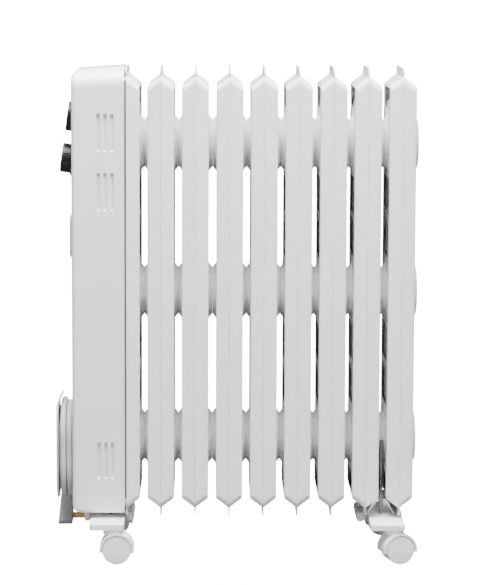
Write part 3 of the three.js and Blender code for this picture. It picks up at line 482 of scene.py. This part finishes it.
ENAMEL = finish("baked_enamel", (0.87, 0.87, 0.86), 0.27, drift=0.03, wear=0.2,
                grain=420, bump=0.05, coat=0.45)
HOUSING = finish("housing_moulding", (0.85, 0.85, 0.84), 0.3, drift=0.02, grain=1500, bump=0.05, coat=0.35)
WINDER = finish("winder_moulding", (0.74, 0.74, 0.73), 0.45, drift=0.03, grain=1400, bump=0.06)
GLAND = finish("gland_moulding", (0.66, 0.66, 0.65), 0.5, grain=1200, bump=0.06)
WHITE = finish("caster_moulding", (0.94, 0.94, 0.93), 0.32, drift=0.03, wear=0.25, grain=1100, bump=0.04)
WHEEL = finish("wheel_moulding", (0.92, 0.92, 0.91), 0.36, drift=0.04, wear=0.5,
               worn=(0.6, 0.59, 0.57), grain=900)
BLACK = finish("knob_moulding", (0.014, 0.014, 0.015), 0.36, wear=0.15, dust=0.08, grain=1300, bump=0.08)
MARK = finish("pointer_paint", (0.75, 0.75, 0.74), 0.5, grain=1500, bump=0.03)
SHEATH = finish("cord_sheath", (0.55, 0.55, 0.54), 0.5, drift=0.06, grain=700, bump=0.08)
PLUG = finish("plug_moulding", (0.40, 0.40, 0.395), 0.5, drift=0.05, grain=1000, bump=0.1)
BRASS = finish("pin_brass", (0.50, 0.36, 0.12), 0.3, metallic=1, wear=0.5,
               worn=(0.8, 0.66, 0.36), grain=600)
# dark greenish zinc: partly the plating's own tone, partly painted shade, darkened so the U-bolt blends
# into the shaded gap between the fins
ZINC_AND_GAP_SHADE = finish("zinc_plate_and_painted_shade", (0.24, 0.27, 0.25), 0.42, metallic=1, drift=0.15,
              wear=0.5, grain=500, bump=0.08)
STEEL = finish("element_steel", (0.45, 0.44, 0.43), 0.36, metallic=1, drift=0.1, grain=700, bump=0.06)
# painted shadow: a near-black colour for the strips that stand for the shade line along the housing's rear
# seam
SEAM_SHADOW_PAINT = finish("painted_seam_shadow", (0.14, 0.14, 0.14), 0.8, drift=0.1, wear=0.1, grain=1600, bump=0.2)
CERAMIC = finish("fired_ceramic", (0.78, 0.74, 0.66), 0.62, drift=0.06, grain=500, bump=0.1)


# ------------------------------------------------------------------ cord

def arc_points(x, y, z, radius, start, end, count):
    """Points on a round bend about (y, z), at angles measured from +Y towards +Z."""
    points = []
    for step in range(count):
        angle = math.radians(start + (end - start) * step / (count - 1))
        points.append((x, y + radius * math.cos(angle), z + radius * math.sin(angle)))
    return points


def cord_route():
    """From the gland: three turns inwards, a step out, one and a half turns outwards, and down."""
    inner, outer = (FIRST_FIN - layer for layer in LAYERS)
    points = [(inner, 9.5 * MM, WIND_LOW - TURN_RADII[0]), (inner, 0, WIND_LOW - TURN_RADII[0])]
    turns = [(inner, radius) for radius in TURN_RADII] + [(outer, TURN_RADII[1]), (outer, TURN_RADII[0])]
    for number, (x, radius) in enumerate(turns):
        last = number == len(turns) - 1
        following = turns[number] if last else turns[number + 1]
        points += arc_points(x, WIND_Y, WIND_LOW, radius, 270, 190, 5)
        points += [(x, WIND_Y - radius, (WIND_LOW + WIND_HIGH) / 2)]
        if last:
            points += arc_points(x, WIND_Y, WIND_HIGH, radius, 170, 100, 5)
        else:
            points += arc_points(x, WIND_Y, WIND_HIGH, radius, 170, 10, 8)
            points += [(x, WIND_Y + radius, (WIND_LOW + WIND_HIGH) / 2)]
            for step, angle in enumerate((-12, -34, -56, -76)):
                part = (step + 1) / 5
                between = radius + (following[1] - radius) * part
                across = x + (following[0] - x) * part
                points += arc_points(across, WIND_Y, WIND_LOW, between, angle, angle, 2)[:1]
    points += [(outer, -6 * MM, WIND_HIGH + TURN_RADII[0] + 0.8 * MM)]
    points += arc_points(outer, PLUG_Y - TAIL_RADIUS, TAIL_MIDDLE, TAIL_RADIUS, 88, 4, 6)
    points += [(outer, PLUG_Y, 146 * MM), (outer, PLUG_Y, 130 * MM), (RELIEF_X, PLUG_Y, 118 * MM)]
    points += [(RELIEF_X, PLUG_Y, RELIEF_TOP)]
    return points


def make_cord():
    data = bpy.data.curves.new("mains_cord", "CURVE")
    data.dimensions = "3D"
    data.bevel_depth = CORD_DIAMETER / 2
    data.bevel_resolution = 5
    data.resolution_u = 6
    data.use_fill_caps = True
    spline = data.splines.new("BEZIER")
    points = cord_route()
    spline.bezier_points.add(len(points) - 1)
    for knot, place in zip(spline.bezier_points, points):
        knot.co = place
        knot.handle_left_type = knot.handle_right_type = "AUTO"
    cord = bpy.data.objects.new("mains_cord", data)
    bpy.context.collection.objects.link(cord)
    return fit(cord, BODY, SHEATH, "cord_lead", "cord_winding", "cord_tail")


# ------------------------------------------------------------------ fins

def slot_cutters(side):
    """One rounded cutting block for each warm air slot."""
    blocks = []
    near, far = sorted((side * (FIN_HALF_WIDTH - 5 * MM), side * (FIN_HALF_WIDTH + 2 * MM)))
    for low, high in SLOT_SPANS:
        block = box("slot", (near, -SLOT_HALF_DEPTH, low * MM), (far, SLOT_HALF_DEPTH, high * MM))
        round_edges(block, lambda middle, way: abs(way.x) > 0.9, 4 * MM, 4)
        blocks.append(block)
    return joined("slots", blocks)


def shield(side, depth):
    """The pressed outer skin of half a fin: strips, wall and sloping roofs, with its air slots."""
    near, far = sorted((side * SEAM, side * FIN_HALF_WIDTH))
    skin = box("skin", (near, -depth, SHOULDER[0]), (far, depth, SHOULDER[1]))
    inner = lambda co: abs(co.x) < MM
    drop = SHOULDER[0] - APEX[0]
    shift(skin, lambda co: inner(co) and co.z < 0.3, (0, 0, -drop))
    shift(skin, lambda co: inner(co) and co.z > 0.3, (0, 0, drop))
    shift(skin, lambda co: inner(co) and co.y < 0, (0, -CROWN, 0))
    shift(skin, lambda co: inner(co) and co.y > 0, (0, CROWN, 0))

    def rounding(middle, way):
        if abs(middle.x) > 16 * MM:
            return 3 * MM
        return 8 * MM if abs(way.x) > 0.5 and abs(middle.y) > depth - MM else 0

    round_by(skin, 8 * MM, 5, rounding)
    select_in(skin, "FACE", lambda middle, normal: abs(middle.x) < MM and abs(normal.x) > 0.9)
    bpy.ops.mesh.delete(type="FACE")
    leave_edit()
    thicken(skin, FIN_SHEET)
    for corner in skin.data.vertices:
        corner.co.x = side * max(side * corner.co.x, SEAM)
    return cut_with(face_out(skin), slot_cutters(side))


def flange(side):
    """The flat weld flange, with its corners cut and its edges rounded."""
    near, far = sorted((side * SEAM, side * (SEAM + FIN_SHEET)))
    sheet = box("flange", (near, -FLANGE_HALF_DEPTH, FLANGE[0]), (far, FLANGE_HALF_DEPTH, FLANGE[1]))
    round_edges(sheet, lambda middle, way: abs(way.x) > 0.9, 7 * MM, 3)
    outer = lambda middle, way: abs(middle.x) > SEAM + 0.6 * FIN_SHEET and abs(way.x) < 0.1
    round_edges(sheet, outer, 0.35 * MM, 2)
    return sheet


def chamber(side):
    """The flat oil chamber behind the skin."""
    reach, depth, low, high = CHAMBER
    near, far = sorted((side * SEAM, side * reach))
    tank = box("chamber", (near, -depth, low), (far, depth, high))
    round_edges(tank, lambda middle, way: abs(middle.x) > 0.7 * reach, 5 * MM, 3)
    return tank


def hub(side, height, reach, closed):
    """One oil passage: it narrows from the wall to a waist where it meets the next fin's."""
    start, wall = side * CHAMBER[0] * 0.9, side * FIN_HALF_WIDTH
    stub = disc("hub", "X", (0, 0, height), start, wall, HUB_RADIUS)
    end = lambda middle, normal: normal.x * side > 0.9
    narrowing = WAIST_RADIUS / HUB_RADIUS
    push(stub, end, (side * (reach - FIN_HALF_WIDTH), 0, 0), (1, narrowing, narrowing))
    rim = lambda middle, way: abs(middle.x) > 0.99 * reach and abs(way.x) < 0.1
    round_edges(stub, rim, (2 if closed else 0.6) * MM, 3)
    return stub


def fin_half(name, side, depth=FIN_HALF_DEPTH, ends=()):
    parts = [shield(side, depth), flange(side), chamber(side)]
    for height in HUB_HEIGHTS:
        closed = height in ends
        if closed and side > 0:
            reach = FIN_HALF_WIDTH + END_BOSS
        else:
            reach = FIN_PITCH / 2 - 0.02 * MM
        parts.append(hub(side, height, reach, closed))
    whole = parts[0]
    for part in parts[1:]:
        cut_with(whole, part, "UNION")
    whole.name = name
    return smooth(whole, 35)


def make_fins():
    front = fin_half("front_half", -1)
    rear = fin_half("rear_half", 1)
    first = fin_half("first_front_half", -1, HIDDEN_HALF_DEPTH)
    last = fin_half("last_rear_half", 1, ends=HUB_HEIGHTS)
    for number in range(1, FIN_COUNT + 1):
        x = FIRST_FIN + (number - 1) * FIN_PITCH
        halves = {"front": first if number == 1 else front, "rear": last if number == FIN_COUNT else rear}
        for side, pattern in halves.items():
            node = f"fin_{number}_{side}_shell"
            fit(copy_of(pattern, node + "_finished", (x, 0, 0)), BODY, ENAMEL, node)
    for pattern in (front, rear, first, last):
        bpy.data.objects.remove(pattern, do_unlink=True)


# ------------------------------------------------------------------ housing and controls

def groove_cutters():
    blocks = []
    for side in (-1, 1):
        face = side * HOUSING_HIGH.y
        near, far = sorted((face - side * GROOVE_DEPTH, face + side * MM))
        for low, high in GROOVE_SPANS:
            for offset in GROOVE_OFFSETS:
                x = FIRST_FIN - offset * MM
                half = GROOVE_WIDTH / 2
                block = box("groove", (x - half, near, low * MM), (x + half, far, high * MM))
                round_edges(block, lambda middle, way: abs(way.y) > 0.9, half * 0.96, 4)
                select_in(block, "FACE", lambda middle, normal: normal.y * side < -0.9)
                bpy.ops.transform.resize(value=(0.9, 1, 0.9))
                leave_edit()
                blocks.append(block)
    return joined("grooves", blocks)


def make_housing():
    """A moulded cover with a broad round at its top and front, open towards the fins."""
    cover = box("control_housing_finished", HOUSING_LOW, HOUSING_HIGH)
    front, top, bottom = HOUSING_LOW.x, HOUSING_HIGH.z, HOUSING_LOW.z
    drop = 4.5 * MM
    shift(cover, lambda co: co.x < front + MM and co.z > top - MM, (0, 0, -drop))

    def rounding(middle, way):
        at_front = middle.x < front + MM
        if abs(way.x) > 0.9:
            return 24 * MM if middle.z > top - 10 * MM else 6 * MM
        if abs(way.y) > 0.9:
            return 11 * MM if at_front else 0
        return 6 * MM if at_front else 0

    round_by(cover, 24 * MM, 8, rounding)
    rear = HOUSING_HIGH.x
    select_in(cover, "FACE", lambda middle, normal: normal.x > 0.9 and abs(middle.x - rear) < 0.1 * MM)
    bpy.ops.mesh.delete(type="FACE")
    leave_edit()
    thicken(cover, HOUSING_WALL)
    cut_with(cover, groove_cutters())
    low, high = (Vector(corner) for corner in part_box("control_panel"))
    gap = 0.3 * MM
    inward = front + 12 * MM
    window = box("window", (front - MM, low.y - gap, low.z - gap), (inward, high.y + gap, high.z + gap))
    cut_with(cover, window)
    soften(cover, 0.35 * MM, 2, 40)
    fit(smooth(cover, 35), BODY, HOUSING, "control_housing")
    return make_seam_shadow_strips()


def make_seam_shadow_strips():
    """Dark strips that paint the shadow line in the gap behind the cover's open edge, one on each side."""
    start, end = HOUSING_HIGH.x + 0.25 * MM, FIRST_FIN - SEAM
    bottom, top, depth = 80 * MM, 624 * MM, HIDDEN_HALF_DEPTH
    strips = []
    for side in (-1, 1):
        near, far = sorted((side * (depth - 0.6 * MM), side * (depth + 2.2 * MM)))
        strips.append(box("strip", (start, near, bottom), (end, far, top)))
    gasket = joined("painted_shadow_strips", strips)
    soften(gasket, 0.3 * MM, 2)
    return fit(smooth(gasket), BODY, SEAM_SHADOW_PAINT)


def make_knob(name, along):
    """A ribbed black knob on a thin skirt, with a light pointer that runs over its rim."""
    skirt = disc("skirt", "X", (0, 0, 0), -SKIRT_FACE, -0.4 * MM, SKIRT_RADIUS, KNOB_SIDES)

    def skirt_rim(middle, way):
        outside = middle.x < 0.2 * MM - SKIRT_FACE and middle.yz.length > SKIRT_RADIUS - 0.5 * MM
        return outside and abs(way.x) < 0.1

    round_edges(skirt, skirt_rim, 2.2 * MM, 4)
    grip = disc("grip", "X", (0, 0, 0), -GRIP_FACE, -4.9 * MM, GRIP_RADIUS, KNOB_SIDES)
    inside_rim = GRIP_RADIUS - 0.5 * MM
    at_face = lambda middle: middle.x < 0.1 * MM - GRIP_FACE
    rim = lambda middle, way: at_face(middle) and middle.yz.length > inside_rim and abs(way.x) < 0.1
    round_edges(grip, rim, 1.6 * MM, 4)
    select_in(grip, "FACE", lambda middle, normal: normal.x < -0.9 and at_face(middle))
    bpy.ops.mesh.inset(thickness=3.2 * MM, depth=-0.7 * MM)
    leave_edit()

    def every_other(middle, normal):
        number = round(math.degrees(math.atan2(middle.z, middle.y)) / (360 / KNOB_SIDES) - 0.5)
        side = abs(normal.x) < 0.1 and middle.yz.length > inside_rim
        return side and number % 2 == 0

    select_in(grip, "FACE", every_other)
    bpy.ops.mesh.inset(thickness=0.12 * MM, depth=-0.8 * MM, use_individual=True)
    leave_edit()
    knob = joined(name + "_finished", [skirt, grip])
    knob.data.materials.clear()
    knob.data.materials.append(BLACK)
    low = (-GRIP_FACE - 0.6 * MM, -POINTER_WIDTH / 2, 9 * MM)
    pointer = box("pointer", low, (-11 * MM, POINTER_WIDTH / 2, GRIP_RADIUS + 0.15 * MM))
    soften(pointer, 0.5 * MM, 3)
    pointer.data.materials.clear()
    pointer.data.materials.append(MARK)
    knob = joined(name + "_finished", [knob, pointer])
    place = Matrix.Rotation(PANEL_TILT, 4, "Y")
    place.translation = PANEL_MIDDLE + place @ Vector((0, 0, along))
    knob.matrix_world = place
    set_place(smooth(knob, 40))
    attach(knob, name)
    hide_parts(name)


def make_badge():
    """A plain raised plate with a round-ended outline and a stepped face."""
    low, high = (Vector(corner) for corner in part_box("front_badge_plate"))
    plate = box("front_badge_plate_finished", (low.x + 1.6 * MM, low.y, low.z), high)
    round_edges(plate, lambda middle, way: abs(way.x) > 0.9, 10.5 * MM, 10)
    front = lambda middle, normal: normal.x < -0.9
    select_in(plate, "FACE", front)
    bpy.ops.mesh.inset(thickness=2 * MM, depth=0)
    bpy.ops.mesh.extrude_region_move(TRANSFORM_OT_translate={"value": (-1.6 * MM, 0, 0)})
    leave_edit()
    soften(plate, 0.5 * MM, 3, 40)
    return fit(smooth(plate, 40), BODY, HOUSING, "front_badge_plate")


# ------------------------------------------------------------------ winder and plug

def stadium(name, start, end, low, high, radius):
    """A round-ended plate across X, tall in Z."""
    plate = disc(name, "X", (0, WIND_Y, low), start, end, radius, 96)
    shift(plate, lambda co: co.z > low + 1e-5, (0, 0, high - low))
    return plate


def make_winder():
    low, high = (Vector(corner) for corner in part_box("cord_winder"))
    outer = low.x
    inner = outer + 3 * MM
    plate = stadium("flange", outer, inner, 102 * MM, 182 * MM, 30 * MM)
    select_in(plate, "FACE", lambda middle, normal: True)
    bpy.ops.mesh.bisect(plane_co=(0, 0, CURL_FROM), plane_no=(0, 0, 1), clear_outer=True, use_fill=True)
    leave_edit()
    top = lambda middle, normal: normal.z > 0.9 and middle.z > CURL_FROM - 0.1 * MM
    push(plate, top, (2.4 * MM, 0, 6 * MM), (0.95, 0.9, 1))
    bent = lambda middle, normal: normal.z > 0.3 and middle.z > CURL_FROM + 5 * MM
    push(plate, bent, (3.5 * MM, 0, 6.6 * MM), (0.9, 0.8, 1))
    soften(plate, 0.9 * MM, 3, 40)
    core = stadium("core", outer + MM, high.x, WIND_LOW, WIND_HIGH, 18 * MM)
    soften(core, 0.6 * MM, 2, 40)
    select_in(plate, "FACE", lambda middle, normal: normal.x < -0.95 and middle.z < CURL_FROM)
    bpy.ops.mesh.inset(thickness=5 * MM, depth=-0.8 * MM)
    leave_edit()
    return fit(smooth(joined("cord_winder_finished", [plate, core]), 40), BODY, WINDER, "cord_winder")


def make_plug():
    """A moulded plug body with a tapered, ringed strain relief."""
    low, high = (Vector(corner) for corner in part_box("plug_body"))
    face = high.x
    shell = box("plug", (face - 19.4 * MM, low.y, low.z), (face, high.y, PLUG_TOP))
    upper = lambda co: co.z > 60 * MM
    shift(shell, lambda co: upper(co) and co.x < face - MM, (5 * MM, 0, 0))
    shift(shell, lambda co: upper(co) and co.y < PLUG_Y, (0, 11 * MM, 0))
    shift(shell, lambda co: upper(co) and co.y > PLUG_Y, (0, -11 * MM, 0))
    round_edges(shell, lambda middle, way: abs(way.x) > 0.7, 7 * MM, 5)
    soften(shell, 1.6 * MM, 4, 30)
    relief = disc("relief", "Z", (RELIEF_X, PLUG_Y, 0), 74 * MM, 80 * MM, 6 * MM, 32)
    rings = 4
    step = (RELIEF_TOP - 80 * MM) / (2 * rings)
    end = lambda height: lambda middle, normal: normal.z > 0.9 and middle.z > height - 0.1 * MM
    height = 80 * MM
    for ring in range(rings):
        push(relief, end(height), (0, 0, 0), (0.82, 0.82, 1))
        push(relief, end(height), (0, 0, step))
        height += step
        push(relief, end(height), (0, 0, 0), (1.16, 1.16, 1))
        push(relief, end(height), (0, 0, step))
        height += step
    soften(relief, 0.3 * MM, 2, 40)
    plug = joined("plug_body_finished", [shell, relief])
    return fit(smooth(plug, 40), BODY, PLUG, "plug_body")


def make_pins():
    pins = []
    for node in ("plug_pin_earth", "plug_pin_live", "plug_pin_neutral"):
        low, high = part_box(node)
        pin = box(node + "_finished", low, high)
        tip = lambda middle, way: middle.x > high[0] - 0.1 * MM
        round_edges(pin, tip, 1.1 * MM, 3)
        soften(pin, 0.25 * MM, 2, 40)
        pins.append(fit(smooth(pin, 40), BODY, BRASS, node))
    return pins


# ------------------------------------------------------------------ feet and casters

def make_saddle_left():
    low, high = (Vector(corner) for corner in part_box("saddle_left"))
    depth = high.y
    clear = (high.x - low.x - 8.5 * MM - 10 * MM)
    outer = box("outer_rail", low, (low.x + 8.5 * MM, depth, high.z))
    inner = box("inner_rail", (high.x - 10 * MM, -depth, low.z), high)
    for rail in (outer, inner):
        round_edges(rail, lambda middle, way: abs(way.z) > 0.9, 4 * MM, 6)
        round_edges(rail, lambda middle, way: abs(way.z) < 0.5, 3 * MM, 5)
    start = low.x + 7 * MM
    plate = box("plate", (start, -depth, high.z - 1.4 * MM), (start + clear + 3 * MM, depth, high.z))
    soften(plate, 0.4 * MM, 2)
    saddle = joined("saddle_left_finished", [outer, inner, plate])
    return fit(smooth(saddle, 40), BODY, ENAMEL, "saddle_left")


def make_carrier(corner):
    """A moulded arm with rounded corners and a plain raised oval near its outer end."""
    node = f"caster_carrier_{corner}"
    low, high = (Vector(bound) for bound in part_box(node))
    arm = box(node + "_finished", low, high)
    round_edges(arm, lambda middle, way: abs(way.z) > 0.9, 4.5 * MM, 6)
    round_edges(arm, lambda middle, way: abs(way.z) < 0.5 and middle.z > 50 * MM, 1.8 * MM, 4)
    round_edges(arm, lambda middle, way: abs(way.z) < 0.5 and middle.z < 46 * MM, 0.8 * MM, 2)
    middle = (low + high) / 2
    outward = 1 if middle.y > 0 else -1
    oval = disc("oval", "Z", (0, 0, 0), 0, 0.7 * MM, 3.6 * MM, 48)
    oval.scale = (1.0, 0.55, 1.0)
    oval.location = (middle.x, outward * (abs(middle.y) + 5 * MM), high.z - 0.05 * MM)
    set_place(oval)
    soften(oval, 0.3 * MM, 3, 40)
    return fit(smooth(joined(node + "_finished", [arm, oval]), 40), BODY, WHITE, node)


def caster_place(corner):
    foot, end = corner.split("_")
    place = Matrix.Rotation(math.radians(REST_TURNS[corner]), 4, "Z")
    place.translation = (SWIVEL_X[foot], SWIVEL_Y * (1 if end == "far" else -1), 0)
    return place


def hood_pattern():
    """A mudguard that arches over both wheels, a web between them, and the swivel's neck and stem."""
    half, inner, outer = HOOD_HALF_WIDTH, HOOD_INNER, HOOD_OUTER
    low = (TRAIL - outer, -half, WHEEL_RADIUS - 0.02 * MM)
    guard = box("guard", low, (TRAIL - inner, half, WHEEL_RADIUS))
    select_in(guard, "FACE", lambda middle, normal: normal.z > 0.9)
    start_angle = math.radians(7)
    bpy.ops.mesh.spin(steps=48, angle=-math.pi, center=(TRAIL, 0, WHEEL_RADIUS), axis=(0, 1, 0))
    leave_edit()
    for side in (-1, 1):
        tip = box("tip", (TRAIL + side * inner, -half, WHEEL_RADIUS - outer * start_angle),
                  (TRAIL + side * outer, half, WHEEL_RADIUS))
        guard = joined("guard", [guard, tip])
    face_out(guard)
    soften(guard, 0.7 * MM, 3, 50)
    web = disc("web", "Y", (TRAIL, 0, WHEEL_RADIUS), -1.7 * MM, 1.7 * MM, 20.4 * MM, 64)
    select_in(web, "FACE", lambda middle, normal: True)
    bpy.ops.mesh.bisect(plane_co=(0, 0, 11.5 * MM), plane_no=(0, 0, -1), clear_outer=True, use_fill=True)
    leave_edit()
    neck = disc("neck", "Z", (0, 0, 0), 38.2 * MM, 44.4 * MM, 13 * MM, 64)
    round_edges(neck, lambda middle, way: middle.z > 44 * MM and middle.xy.length > 12 * MM, 0.8 * MM, 3)
    stem = disc("stem", "Z", (0, 0, 0), 40 * MM, 50 * MM, 4 * MM, 32)
    round_edges(stem, lambda middle, way: middle.z > 49.9 * MM and middle.xy.length > 3 * MM, 0.6 * MM, 2)
    return smooth(joined("hood_pattern", [guard, web, neck, stem]), 40)


def wheel_pattern():
    """Twin wheels on one axle; each outer face is a shallow dome with a fine step at its rim."""
    axle = Vector((TRAIL, 0, WHEEL_RADIUS))
    parts = [disc("axle", "Y", axle, -3.2 * MM, 3.2 * MM, 3 * MM, 32)]
    for side in (-1, 1):
        wheel = disc("wheel", "Y", axle, side * 2.2 * MM, side * WHEEL_FACE, WHEEL_RADIUS, 96)
        outward = lambda middle, normal: normal.y * side > 0.9
        select_in(wheel, "FACE", outward)
        bpy.ops.mesh.inset(thickness=0.9 * MM, depth=0)
        bpy.ops.mesh.inset(thickness=0.3 * MM, depth=-0.35 * MM)
        bpy.ops.mesh.inset(thickness=0.3 * MM, depth=0.45 * MM)
        bpy.ops.mesh.inset(thickness=7 * MM, depth=0.3 * MM)
        bpy.ops.mesh.inset(thickness=6 * MM, depth=0.15 * MM)
        leave_edit()
        at_rim = lambda middle: (middle - axle).xz.length > WHEEL_RADIUS - 0.1 * MM
        round_edges(wheel, lambda middle, way: at_rim(middle) and abs(way.y) < 0.1, 0.8 * MM, 4)
        parts.append(wheel)
    return smooth(joined("wheel_pattern", parts), 30)


def make_casters():
    hood, wheels = hood_pattern(), wheel_pattern()
    for corner in REST_TURNS:
        place = caster_place(corner)
        body = f"caster_hood_{corner}"
        fit(turned_copy(hood, body + "_finished", place), body, WHITE, body)
        body = f"caster_wheels_{corner}"
        fit(turned_copy(wheels, body + "_finished", place), body, WHEEL, body)
    for pattern in (hood, wheels):
        bpy.data.objects.remove(pattern, do_unlink=True)


def make_u_bolt(foot):
    """A bent threaded rod over the lowest oil passage."""
    node = f"u_bolt_{foot}"
    low, high = (Vector(corner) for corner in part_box(node))
    x = (low.x + high.x) / 2
    span = 35.5 * MM
    height = HUB_HEIGHTS[0]
    rod = disc(node + "_finished", "Z", (x, -span, 0), low.z, height, 2.4 * MM, 24)
    round_edges(rod, lambda middle, way: middle.z < low.z + 0.1 * MM, 0.5 * MM, 2)
    select_in(rod, "FACE", lambda middle, normal: normal.z > 0.9)
    bpy.ops.mesh.spin(steps=32, angle=-math.pi, center=(x, 0, height), axis=(1, 0, 0))
    bpy.ops.mesh.extrude_region_move(TRANSFORM_OT_translate={"value": (0, 0, low.z - height)})
    leave_edit()
    # the rod's dark zinc colour partly paints the shade of the gap between the fins
    return fit(smooth(face_out(rod), 40), BODY, ZINC_AND_GAP_SHADE, node)


# ------------------------------------------------------------------ stage

BACKDROP = 20.0

def seen_bright(tree, kind):
    """A glow that only the eye meets, so that a pale backdrop stays pale without lighting anything."""
    glow = tree.nodes.new(kind)
    glow.inputs["Color"].default_value = (1, 1, 1, 1)
    glow.inputs["Strength"].default_value = BACKDROP
    path = tree.nodes.new("ShaderNodeLightPath")
    choice = tree.nodes.new("ShaderNodeMixShader")
    tree.links.new(path.outputs["Is Camera Ray"], choice.inputs[0])
    tree.links.new(glow.outputs[0], choice.inputs[2])
    return choice


def make_stage():
    deselect()
    bpy.ops.mesh.primitive_plane_add(size=30, location=(0, 0, -0.0005))
    floor = bpy.context.object
    floor.name = "floor"
    pale = bpy.data.materials.new("pale_floor")
    pale.use_nodes = True
    tree = pale.node_tree
    shader = tree.nodes["Principled BSDF"]
    shader.inputs["Base Color"].default_value = (0.12, 0.12, 0.12, 1)
    shader.inputs["Roughness"].default_value = 0.9
    choice = seen_bright(tree, "ShaderNodeEmission")
    tree.links.new(shader.outputs["BSDF"], choice.inputs[1])
    tree.links.new(choice.outputs[0], tree.nodes["Material Output"].inputs["Surface"])
    floor.data.materials.append(pale)
    world = bpy.data.worlds.new("studio")
    bpy.context.scene.world = world
    world.use_nodes = True
    tree = world.node_tree
    sky = tree.nodes["Background"]
    sky.inputs["Color"].default_value = (1, 1, 1, 1)
    sky.inputs["Strength"].default_value = 0.1
    choice = seen_bright(tree, "ShaderNodeBackground")
    tree.links.new(sky.outputs[0], choice.inputs[1])
    tree.links.new(choice.outputs[0], tree.nodes["World Output"].inputs["Surface"])


def add_light(name, place, target, size, power):
    data = bpy.data.lights.new(name, "AREA")
    data.shape = "RECTANGLE"
    data.size, data.size_y = size
    data.energy = power
    light = bpy.data.objects.new(name, data)
    bpy.context.collection.objects.link(light)
    place, target = Vector(place), Vector(target)
    light.location = place
    light.rotation_euler = (target - place).to_track_quat("-Z", "Y").to_euler()


# ------------------------------------------------------------------ the heater

aim_camera()
cord = make_cord()
make_fins()
make_housing()
make_knob("thermostat_knob", KNOB_SPACING / 2)
make_knob("power_knob", -KNOB_SPACING / 2)
make_badge()
make_winder()
plug = make_plug()
pins = make_pins()
make_saddle_left()
for corner in REST_TURNS:
    make_carrier(corner)
make_casters()
for foot in SWIVEL_X:
    make_u_bolt(foot)

REFINED = {
    "control_panel": (HOUSING, 0.5), "saddle_right": (ENAMEL, 0.5), "cord_gland": (GLAND, 0.5),
    "oil_filler_plug": (ENAMEL, 0.3), "chassis_plate": (ZINC_AND_GAP_SHADE, 0.2), "terminal_block": (CERAMIC, 0.3),
    "thermostat": (CERAMIC, 0.4), "power_switch": (BLACK, 0.4), "thermal_cutout": (CERAMIC, 0.2),
    "element_flange": (STEEL, 0.3), "wing_nut_left_near": (ZINC_AND_GAP_SHADE, 0.4), "wing_nut_left_far": (ZINC_AND_GAP_SHADE, 0.4),
    "wing_nut_right_near": (ZINC_AND_GAP_SHADE, 0.4), "wing_nut_right_far": (ZINC_AND_GAP_SHADE, 0.4), "heating_element": (STEEL, 0),
}
for node, (material, width) in REFINED.items():
    fit(refined(node, width * MM), BODY, material, node)

route = cord_route()

make_stage()
add_light("overhead", (0.1, -0.5, 2.3), (0, 0, 0.4), (1.5, 1.5), 285)
add_light("front", (0.9, -3.3, 1.6), (0, 0, 0.3), (1.8, 1.8), 40)
add_light("side", (-3.2, -1.2, 1.4), (0, 0, 0.3), (1.6, 1.6), 22)
add_light("rear", (1.2, 3.0, 1.7), (0, 0, 0.3), (2.0, 2.0), 60)
